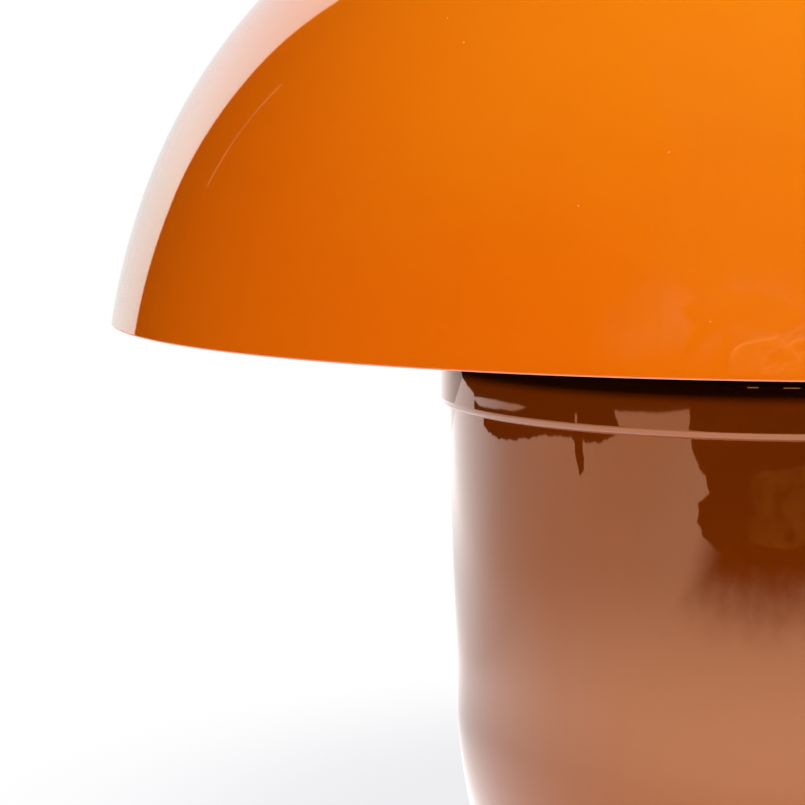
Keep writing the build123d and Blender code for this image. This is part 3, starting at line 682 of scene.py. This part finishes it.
def newTree(name, numbers, counts, materials):
    tree = bpy.data.node_groups.new(name, "GeometryNodeTree")
    tree.interface.new_socket("Geometry", in_out="OUTPUT", socket_type="NodeSocketGeometry")
    tree.interface.new_socket("Geometry", in_out="INPUT", socket_type="NodeSocketGeometry")
    for labels, kind in ((numbers, "Float"), (counts, "Int"), (materials, "Material")):
        for label in labels:
            tree.interface.new_socket(label, in_out="INPUT", socket_type="NodeSocket" + kind)
    graph = Graph(tree)
    enter = tree.nodes.new("NodeGroupInput")
    return graph, {socket.name: Wire(graph, socket) for socket in enter.outputs if socket.name}


def endTree(graph, geometry, material):
    real = graph.add("GeometryNodeRealizeInstances", {"Geometry": geometry})
    painted = graph.add("GeometryNodeSetMaterial", {"Geometry": real, "Material": material})
    graph.add("NodeGroupOutput", {"Geometry": painted})


def spinGrid(graph, w, rows):  # a grid with one column for each step round, and what tells its points apart
    sockets = {"Vertices X": w["Turns"] + 1, "Vertices Y": rows}
    grid = graph.add("GeometryNodeMeshGrid", sockets, "Mesh")
    index = graph.add("GeometryNodeInputIndex")
    column = graph.sum("FLOOR", (index + 0.5) / rows)
    return grid, index - column * rows, column / w["Turns"] * (-2 * pi)


def around(graph, radial, turn, height):
    sockets = {0: radial * graph.sum("COSINE", turn), 1: radial * graph.sum("SINE", turn), 2: height}
    return graph.add("ShaderNodeCombineXYZ", sockets)


def ripple(graph, w, place):  # the slight waviness of the sheet
    sockets = {"Vector": place, "W": w["Seed"], "Scale": w["Ripple Scale"], "Detail": 1.0}
    return w["Ripple"] * graph.add("ShaderNodeTexNoise", sockets, 0, {"noise_dimensions": "4D"})


def closeSkin(graph, grid, place):
    skin = graph.add("GeometryNodeSetPosition", {"Geometry": grid, "Position": place})
    skin = graph.add("GeometryNodeMergeByDistance", {"Geometry": skin, "Distance": 0.000002})
    return graph.add("GeometryNodeSetShadeSmooth", {"Geometry": skin})


def spunDomeTree():  # the shade: three tangent arcs, spun with its wall, its rim rounded over
    graph, w = newTree("spunDome", (
        "Rim Radius", "Rim Height", "Wall", "Rim Lean", "Skirt Radius", "Skirt End", "Shoulder Radius",
        "Shoulder End", "Ripple", "Ripple Scale", "Seed"),
        ("Turns", "Outer Steps", "Rim Steps", "Inner Steps"), ("Outside", "Inside"))

    def sine(angle):
        return graph.sum("SINE", angle)

    def cosine(angle):
        return graph.sum("COSINE", angle)

    def share(value):
        return graph.sum("MINIMUM", graph.sum("MAXIMUM", value, 0.0), 1.0)

    skirtX = w["Rim Radius"] - w["Skirt Radius"] * cosine(w["Rim Lean"])
    skirtZ = w["Rim Height"] - w["Skirt Radius"] * sine(w["Rim Lean"])
    shoulderX = skirtX + (w["Skirt Radius"] - w["Shoulder Radius"]) * cosine(w["Skirt End"])
    shoulderZ = skirtZ + (w["Skirt Radius"] - w["Shoulder Radius"]) * sine(w["Skirt End"])
    crownRadius = w["Shoulder Radius"] + shoulderX / cosine(w["Shoulder End"])
    crownZ = shoulderZ - (crownRadius - w["Shoulder Radius"]) * sine(w["Shoulder End"])

    grid, row, turn = spinGrid(graph, w, w["Outer Steps"] + w["Rim Steps"] + w["Inner Steps"] + 1)
    outer = sine(share(row / w["Outer Steps"]) * (pi / 2))
    rim = share((row - w["Outer Steps"]) / w["Rim Steps"])
    inner = 1 - cosine(share((row - w["Outer Steps"] - w["Rim Steps"]) / w["Inner Steps"]) * (pi / 2))
    halfWall = w["Wall"] / 2
    sweep = pi / 2 - w["Rim Lean"] - halfWall / w["Skirt Radius"]
    lean = pi / 2 - sweep * outer + sweep * inner  # of the surface's normal above level
    roll = rim * pi

    isSkirt = lean < w["Skirt End"]
    isCrown = lean > w["Shoulder End"]
    isShoulder = 1 - isSkirt - isCrown
    centreX = isSkirt * skirtX + isShoulder * shoulderX
    centreZ = isSkirt * skirtZ + isShoulder * shoulderZ + isCrown * crownZ
    middle = isSkirt * w["Skirt Radius"] + isShoulder * w["Shoulder Radius"] + isCrown * crownRadius
    reach = middle - halfWall
    along, across = reach + halfWall * cosine(roll), halfWall * sine(roll)
    radial = centreX + along * cosine(lean) + across * sine(lean)
    height = centreZ + along * sine(lean) - across * cosine(lean)
    press = ripple(graph, w, around(graph, radial, turn, height)) * (1 - rim) * (1 - (inner > 0.0))
    place = around(graph, radial - press * cosine(lean), turn, height - press * sine(lean))
    skin = closeSkin(graph, grid, place)
    skin = graph.add("GeometryNodeRealizeInstances", {"Geometry": skin})
    normal = graph.add("GeometryNodeInputNormal")
    foot = graph.add("ShaderNodeCombineXYZ", {2: w["Rim Height"] - 0.02})
    sockets = {0: graph.add("GeometryNodeInputPosition"), 1: foot}
    arm = graph.add("ShaderNodeVectorMath", sockets, 0, {"operation": "SUBTRACT"})
    outward = graph.dot(normal, arm)
    for finish, chosen in (("Outside", True), ("Inside", outward < 0.0)):
        sockets = {"Geometry": skin, "Selection": chosen, "Material": w[finish]}
        skin = graph.add("GeometryNodeSetMaterial", sockets)
    graph.add("NodeGroupOutput", {"Geometry": skin})
    return graph.tree


def spinTree():  # spins the outline that it is given; ribs run along a piece and a thread climbs round it
    graph, w = newTree("spinOutline", (
        "Ripple", "Ripple Scale", "Seed", "Rib Count", "Rib Depth", "Rib Low", "Rib High", "Thread Depth",
        "Thread Pitch", "Thread Low", "Thread High"), ("Turns",), ("Finish",))
    outline = w["Geometry"]
    rows = graph.add("GeometryNodeAttributeDomainSize", {"Geometry": outline}, "Point Count")
    grid, row, turn = spinGrid(graph, w, rows)
    sockets = {"Geometry": outline, "Value": graph.add("GeometryNodeInputPosition"), "Index": row}
    settings = {"data_type": "FLOAT_VECTOR", "domain": "POINT"}
    point = graph.add("GeometryNodeSampleIndex", sockets, 0, settings)
    radial, height = graph.axis(point, 0), graph.axis(point, 2)

    def wave(angle):  # 0 on a crest, 1 in a valley
        return 0.5 - 0.5 * graph.sum("COSINE", angle)

    def between(low, high, fade):
        return graph.ramp(height, low, low + fade) * (1 - graph.ramp(height, high - fade, high))

    ribs = w["Rib Depth"] * between(w["Rib Low"], w["Rib High"], 0.0015) * wave(w["Rib Count"] * turn)
    climb = height / w["Thread Pitch"] * (2 * pi) - turn  # right-handed
    thread = w["Thread Depth"] * between(w["Thread Low"], w["Thread High"], 0.0025) * wave(climb)
    radial = radial - ribs - thread
    radial = radial - ripple(graph, w, around(graph, radial, turn, height))
    endTree(graph, closeSkin(graph, grid, around(graph, radial, turn, height)), w["Finish"])
    return graph.tree


def ringTree():  # copies of a piece, evenly round the lamp's axis
    graph, w = newTree("ringOfCopies", ("Circle Radius", "Start Angle"), ("Count",), ("Finish",))
    sockets = {"Vertices": w["Count"], "Radius": w["Circle Radius"]}
    circle = graph.add("GeometryNodeMeshCircle", sockets)
    spin = graph.add("ShaderNodeCombineXYZ", {2: w["Start Angle"]})
    circle = graph.add("GeometryNodeTransform", {"Geometry": circle, "Rotation": spin})
    sockets = {"Points": circle, "Instance": w["Geometry"]}
    endTree(graph, graph.add("GeometryNodeInstanceOnPoints", sockets), w["Finish"])
    return graph.tree


spunDome = spunDomeTree()
spinOutline = spinTree()
ringOfCopies = ringTree()


def outlineObject(name, points):
    mesh = bpy.data.meshes.new(name)
    edges = [(k, k + 1) for k in range(len(points) - 1)]
    mesh.from_pydata([(radius, 0, height) for radius, height in points], edges, [])
    return addObject(name, mesh)


def addTree(piece, tree, values):
    modifier = piece.modifiers.new(tree.name, "NODES")
    modifier.node_group = tree
    for item in tree.interface.items_tree:
        if item.in_out == "INPUT" and item.name in values:
            modifier[item.identifier] = values[item.name]


def applyModifiers(piece):
    bpy.context.view_layer.update()
    evaluated = piece.evaluated_get(bpy.context.evaluated_depsgraph_get())
    mesh = bpy.data.meshes.new_from_object(evaluated)
    piece.modifiers.clear()
    piece.data = mesh
    return mesh


def makeSolid(piece, place=None):  # one plain mesh at the origin, faces outwards
    mesh = applyModifiers(piece)
    if place:
        mesh.transform(place)
    shape = bmesh.new()
    shape.from_mesh(mesh)
    bmesh.ops.recalc_face_normals(shape, faces=shape.faces)
    shape.to_mesh(mesh)
    shape.free()


def turned(name, points, slot, body, replaced, values=None, ring=None, place=None):
    piece = outlineObject(name, points)
    settings = {"Turns": 96, "Thread Pitch": 1.0, "Finish": finishes[slot]}
    settings.update(values or {})
    addTree(piece, spinOutline, settings)
    if ring:
        addTree(piece, ringOfCopies, {**ring, "Finish": finishes[slot]})
    makeSolid(piece, place)
    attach(piece, body)
    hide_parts(*replaced)
    print(name, len(piece.data.polygons), "faces")
    return piece


# Shade

shadeSettings = {
    "Rim Radius": 0.300, "Rim Height": 0.262, "Wall": 0.0015, "Rim Lean": radians(9.7),
    "Skirt Radius": 0.332, "Skirt End": radians(20.4),
    "Shoulder Radius": 0.252, "Shoulder End": radians(60.0),
    "Turns": 320, "Outer Steps": 130, "Rim Steps": 12, "Inner Steps": 60,
    "Ripple": 0.0004, "Ripple Scale": 9.0, "Seed": 3.0,
    "Outside": finishes["orange_lacquer"], "Inside": insideFinish,
}
shadeSkin = outlineObject("shadeSkin", [(0.0, 0.0), (0.001, 0.0)])
addTree(shadeSkin, spunDome, shadeSettings)
makeSolid(shadeSkin)
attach(shadeSkin, "shade")
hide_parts("shade")
print("shade", len(shadeSkin.data.polygons), "faces")


# Body and lid

cupSettings = {
    "mouthRadius": 0.148, "height": 0.247, "taper": 1.87, "wall": 0.0015, "straightBottom": 0.082,
    "bellyRadius": 0.257, "bellyEnd": 12.5, "floorHeight": 0.005, "recessRadius": 0.026,
    "recessDepth": 0.012, "recessBend": 0.003, "lipRadius": 0.005, "lipWidth": 0.022, "holeRadius": 0.0053,
    "inletAngle": 10.5, "inletHole": 0.0061, "inletCut": 0.018,
    "spin": {"Turns": 256, "Ripple": 0.00005, "Ripple Scale": 14.0, "Seed": 7.0},
}


def cupShape():
    s = cupSettings
    slope = tan(radians(s["taper"]))
    straightEnd = (s["mouthRadius"] - (s["height"] - s["straightBottom"]) * slope, s["straightBottom"])
    bellyCentre = onArc(straightEnd, -s["bellyRadius"], -s["taper"])
    bellyEnd = onArc(bellyCentre, s["bellyRadius"], -s["bellyEnd"])
    cornerRadius = (bellyEnd[1] - s["floorHeight"]) / (1 - sin(radians(s["bellyEnd"])))
    cornerCentre = onArc(bellyEnd, -cornerRadius, -s["bellyEnd"])
    lipStartHeight = s["height"] - s["lipRadius"] * (1 + sin(radians(s["taper"])))
    lipStart = (s["mouthRadius"] - (s["height"] - lipStartHeight) * slope, lipStartHeight)
    return bellyCentre, cornerCentre, cornerRadius, onArc(lipStart, -s["lipRadius"], -s["taper"])


def cupRun(inset, wallSteps):  # the cup's outline from its floor's hole to its lip
    s = cupSettings
    bellyCentre, cornerCentre, cornerRadius, lipCentre = cupShape()
    top = s["floorHeight"] + s["recessDepth"]
    bend, radius, taper, low = s["recessBend"], s["recessRadius"], s["taper"], s["floorHeight"]
    belly, lip, rim = s["bellyRadius"] - inset, s["lipRadius"] - inset, s["height"] - inset
    return chain(
        lineRun((s["holeRadius"], top + inset), (radius - bend, top + inset), 4),
        arcRun((radius - bend, top - bend), bend + inset, 90, 0, 8),
        lineRun((radius + inset, top - bend), (radius + inset, low + bend), 4),
        arcRun((radius + bend, low + bend), bend - inset, 180, 270, 8),
        lineRun((radius + bend, low + inset), (cornerCentre[0], low + inset), 6),
        arcRun(cornerCentre, cornerRadius - inset, 270, 360 - s["bellyEnd"], 24),
        arcRun(bellyCentre, belly, -s["bellyEnd"], -taper, 16),
        lineRun(onArc(bellyCentre, belly, -taper), onArc(lipCentre, lip, -taper), wallSteps),
        arcRun(lipCentre, lip, -taper, 90, 8),
        lineRun((lipCentre[0], rim), (s["mouthRadius"] - s["lipWidth"], rim), 4),
    )


def closed(outer, inner):
    return chain(outer, reversed(inner), outer[:1])


bodyOutline = closed(cupRun(0, 60), cupRun(cupSettings["wall"], 10))
bodySkin = turned("bodySkin", bodyOutline, "brown_lacquer", "root", ["body_shell"], cupSettings["spin"])

lidSettings = {"wall": 0.0015, "shoulder": 0.005, "roll": 0.004, "studHole": 0.0033, "studCut": 0.006,
               "spin": {"Turns": 256, "Ripple": 0.00003, "Ripple Scale": 14.0, "Seed": 2.0}}
lidLow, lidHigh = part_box("lid")
cuffRadius, lidTop, cuffBottom = lidHigh[0], lidHigh[2], lidLow[2]


def lidRun(inset, wallSteps):
    s = lidSettings
    shoulder = (cuffRadius - s["shoulder"], lidTop - s["shoulder"])
    roll = (cuffRadius - s["roll"], cuffBottom + s["roll"])
    return chain(
        lineRun((cupSettings["holeRadius"], lidTop - inset), (shoulder[0], lidTop - inset), 12),
        arcRun(shoulder, s["shoulder"] - inset, 90, 0, 14),
        lineRun((cuffRadius - inset, shoulder[1]), (cuffRadius - inset, roll[1]), wallSteps),
        arcRun(roll, s["roll"] - inset, 0, -90, 14),
    )


lidOutline = closed(lidRun(0, 24), lidRun(lidSettings["wall"], 6))
lidSkin = turned("lidSkin", lidOutline, "brown_lacquer", "root", ["lid"], lidSettings["spin"])
cutSettings = {"steps": 64, "flatBelow": radians(35)}


def cutHoles(piece, name, holes):  # round holes through a finished skin: (place and turn, radius, length)
    cutter = bpy.data.meshes.new(name)
    shape = bmesh.new()
    for place, radius, length in holes:
        bmesh.ops.create_cone(shape, cap_ends=True, segments=cutSettings["steps"], radius1=radius,
                              radius2=radius, depth=length, matrix=place)
    shape.to_mesh(cutter)
    shape.free()
    tool = addObject(name, cutter)
    cut = piece.modifiers.new(name, "BOOLEAN")
    cut.object = tool
    cut.operation = "DIFFERENCE"
    cut.solver = "EXACT"
    applyModifiers(piece).set_sharp_from_angle(angle=cutSettings["flatBelow"])  # keeps flats flat round holes
    bpy.data.objects.remove(tool)


def inletPlace():  # the grommet's seat on the belly, its axis pointing out and a little down
    angle = radians(cupSettings["inletAngle"])
    radius, height = onArc(cupShape()[0], cupSettings["bellyRadius"], -cupSettings["inletAngle"])
    axes = Matrix(((1, 0, 0), (0, sin(angle), cos(angle)), (0, cos(angle), -sin(angle)))).to_4x4()
    return Matrix.Translation((0, radius, height)) @ axes


cutHoles(bodySkin, "inletCut", [(inletPlace(), cupSettings["inletHole"], cupSettings["inletCut"])])
postRing = {"Count": 3, "Circle Radius": 0.110, "Start Angle": pi / 2}
studHoles = []
for post in range(postRing["Count"]):
    angle = postRing["Start Angle"] + post * 2 * pi / postRing["Count"]
    x, y = postRing["Circle Radius"] * cos(angle), postRing["Circle Radius"] * sin(angle)
    studHoles.append((Matrix.Translation((x, y, lidTop)), lidSettings["studHole"], lidSettings["studCut"]))
cutHoles(lidSkin, "studCut", studHoles)
print("body and lid made")


# Posts with knurled collars, and their rubber tips

postSettings = {
    "collarRadius": 0.009, "collarHeight": 0.004, "radius": 0.004, "neckRadius": 0.003,
    "studRadius": 0.003, "studLength": 0.010, "chamfer": 0.0006, "threadStep": 0.00012, "threadSteps": 77,
    "fillet": ((0.0022, 0.0), (0.0006, 0.0011), (0.0, 0.0030)), "bend": 0.0006,
    "neckLength": 0.014, "tipRadius": 0.005, "tipWall": 0.0015, "tipBend": 0.0012, "tipFit": 0.00005,
}
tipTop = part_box("post_tip_1")[1][2]
neckTop = tipTop - postSettings["tipWall"]
postTop = neckTop - postSettings["neckLength"]


def postOutline():
    s = postSettings
    stud, collarTop, studLow = s["studRadius"], lidTop + s["collarHeight"], lidTop - s["studLength"]
    end = [(0.0, studLow), (stud - s["chamfer"], studLow), (stud, studLow + s["chamfer"])]
    steps = range(1, s["threadSteps"] + 1)
    threaded = [(stud, studLow + s["chamfer"] + s["threadStep"] * k) for k in steps]
    upper = softCorners([
        (stud, lidTop), (s["collarRadius"], lidTop), (s["collarRadius"], collarTop),
        *[(s["radius"] + out, collarTop + up) for out, up in s["fillet"]], (s["radius"], postTop),
        (s["neckRadius"], postTop), (s["neckRadius"], neckTop), (0.0, neckTop)], s["bend"], 4, 5)
    return chain(end, threaded, upper)


turned("posts", postOutline(), "brass", "root", ["carrier_post_1", "carrier_post_2", "carrier_post_3"],
       {"Turns": 144, "Rib Count": 36.0, "Rib Depth": 0.00035, "Rib Low": lidTop + 0.0004,
        "Rib High": lidTop + 0.0036, "Thread Depth": 0.0003, "Thread Pitch": 0.001,
        "Thread Low": lidTop - 0.0105, "Thread High": lidTop - 0.0004}, postRing)


def tipOutline():
    s = postSettings
    bore, radius = s["neckRadius"] + s["tipFit"], s["tipRadius"]
    corners = [(bore, postTop), (radius, postTop), (radius, tipTop), (0.0, tipTop)]
    outside = softCorners(corners, s["tipBend"], 6, 6)
    return closed(outside, softCorners([(bore, postTop), (bore, neckTop), (0.0, neckTop)], 0.0002, 2, 4))


turned("postTips", tipOutline(), "white_rubber", "root", ["post_tip_1", "post_tip_2", "post_tip_3"],
       {"Turns": 64, "Rib Count": 20.0, "Rib Depth": 0.00018, "Rib Low": postTop + 0.001,
        "Rib High": tipTop - 0.003}, postRing)


# Lampholder: ribbed moulded shell and the threaded sleeve in it

holderSettings = {
    "radius": 0.020, "wall": 0.002, "neckRadius": 0.00705, "neckHeight": 0.009, "flareHeight": 0.020,
    "split": 0.030, "groove": 0.0007, "lift": 0.001, "height": 0.060, "mouth": 0.01435,
    "bend": 0.0024, "edge": 0.0022, "innerEdge": 0.001,
}
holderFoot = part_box("holder_base")[0][2]


def holderBaseOutline():
    s, z = holderSettings, holderFoot
    radius, neck, split = s["radius"], s["neckRadius"], z + s["split"]
    bore, throat, groove = radius - s["wall"], neck - s["wall"], s["groove"]
    outside = softCorners([
        (throat, z), (neck, z), (neck, z + s["neckHeight"]), (radius, z + s["flareHeight"]),
        (radius, split - 2 * groove), (radius - groove, split - groove), (radius - groove, split),
        (bore, split)], s["bend"], 8, 10)
    inside = softCorners([
        (throat, z), (throat, z + s["neckHeight"] + s["lift"]), (bore, z + s["flareHeight"] + s["lift"]),
        (bore, split)], s["bend"], 6, 6)
    return closed(outside, inside)


def holderSkirtOutline():
    s = holderSettings
    radius, wall, mouth = s["radius"], s["wall"], s["mouth"]
    low, high = holderFoot + s["split"], holderFoot + s["height"]
    outside = softCorners([(radius - wall, low), (radius, low), (radius, high), (mouth, high),
                           (mouth, high - wall)], s["edge"], 8, 16)
    inside = softCorners([(radius - wall, low), (radius - wall, high - wall), (mouth, high - wall)],
                         s["innerEdge"], 4, 6)
    return closed(outside, inside)


turned("holderBase", holderBaseOutline(), "black_phenolic", "root", ["holder_base"], {"Turns": 160})
turned("holderSkirt", holderSkirtOutline(), "black_phenolic", "root", ["holder_skirt"],
       {"Turns": 320, "Rib Count": 40.0, "Rib Depth": 0.0006, "Rib Low": holderFoot + 0.033,
        "Rib High": holderFoot + 0.055})

screwThread = {"Thread Depth": 0.0010, "Thread Pitch": 0.003629}
sleeveSettings = {"wall": 0.0005, "steps": 60}
sleeveLow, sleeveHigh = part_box("screw_sleeve")


def sleeveOutline():
    s, outer, low, high = sleeveSettings, sleeveHigh[0], sleeveLow[2], sleeveHigh[2]
    side = [low + (high - low) * k / s["steps"] for k in range(s["steps"] + 1)]
    return chain([(outer, z) for z in side], [(outer - s["wall"], z) for z in reversed(side)], [(outer, low)])


turned("screwSleeve", sleeveOutline(), "brass", "root", ["screw_sleeve"],
       {**screwThread, "Turns": 96, "Thread Low": sleeveLow[2], "Thread High": sleeveHigh[2]})


# Bulb: opal globe and its rolled screw cap

bulbSettings = {
    "radius": 0.030, "length": 0.104, "neck": 0.0125, "wall": 0.001, "neckLow": 0.020, "neckHigh": 0.031,
    "capRadius": 0.01315, "capWall": 0.0004, "capLow": 0.008, "capHigh": 0.027, "capSteps": 70,
    "insulator": 0.009, "insulatorTop": 0.0045,
}
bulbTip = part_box("bulb_contact")[0][2]


def glassRun(inset):
    s = bulbSettings
    neck, centre = s["neck"] - inset, (0.0, bulbTip + s["length"] - s["radius"])
    rise = centre[1] - bulbTip - s["neckHigh"]
    flare = (rise**2 + s["neck"]**2 - s["radius"]**2) / (2 * (s["radius"] - s["neck"]))
    flareCentre = (s["neck"] + flare, bulbTip + s["neckHigh"])
    joinAngle = atan2(flareCentre[1] - centre[1], flareCentre[0]) * 180 / pi
    return chain(
        lineRun((neck, bulbTip + s["neckLow"]), (neck, bulbTip + s["neckHigh"]), 6),
        arcRun(flareCentre, flare + inset, 180, 180 + joinAngle, 16),
        arcRun(centre, s["radius"] - inset, joinAngle, 90, 48),
    )


def capOutline():
    s = bulbSettings
    radius, steps, low = s["capRadius"], s["capSteps"], (s["insulator"], bulbTip + s["insulatorTop"])
    side = [s["capLow"] + (s["capHigh"] - s["capLow"]) * k / steps for k in range(steps + 1)]
    flare = lineRun(low, (radius, bulbTip + s["capLow"]), 6)
    outside = chain([low], flare, [(radius, bulbTip + z) for z in side])
    inside = chain([(low[0] - s["capWall"], low[1])], [(radius - s["capWall"], bulbTip + z) for z in side])
    return closed(outside, inside)


glassOutline = closed(glassRun(0.0), glassRun(bulbSettings["wall"]))
turned("bulbGlass", glassOutline, "opal_glass", "bulb", ["bulb_glass"], {"Turns": 128})
turned("bulbCap", capOutline(), "bulb_alloy", "bulb", ["bulb_screw_cap"],
       {**screwThread, "Turns": 128, "Thread Low": bulbTip + 0.0055, "Thread High": bulbTip + 0.0205})
print("holder and bulb made")


# Grommet low at the rear, and the felt ring underneath

grommetSettings = {"flange": 0.009, "body": 0.006, "bore": 0.0034, "flangeDepth": 0.0025, "groove": 0.002,
                   "mouth": ((0.0012, 0.0), (0.0010, -0.0005), (0.0, -0.0007)), "bend": 0.0009}
feltSettings = {"width": 0.032, "bend": 0.0011}


def grommetOutline():
    s = grommetSettings
    bore, flange, body, groove, top = s["bore"], s["flange"], s["body"], s["groove"], s["flangeDepth"]
    low = -groove - top
    outside = softCorners([
        (bore, low), (flange, low), (flange, -groove), (body, -groove), (body, 0.0), (flange, 0.0),
        (flange, top), *[(bore + out, top + up) for out, up in s["mouth"]], (bore, low)], s["bend"], 5, 4)
    return chain(outside, outside[:1])


turned("grommet", grommetOutline(), "black_rubber", "root", ["cable_grommet"], {"Turns": 72},
       place=inletPlace())


def feltOutline():
    outer, _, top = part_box("foot_ring")[1]
    inner, middle = outer - feltSettings["width"], outer - feltSettings["width"] / 2
    outside = softCorners([(middle, top), (outer, top), (outer, 0.0), (inner, 0.0), (inner, top),
                           (middle, top)], feltSettings["bend"], 5, 12)
    return chain(outside, outside[:1])


turned("feltRing", feltOutline(), "felt", "root", ["foot_ring"],
       {"Turns": 240, "Ripple": 0.0004, "Ripple Scale": 160.0, "Seed": 5.0})
print("grommet and felt made")
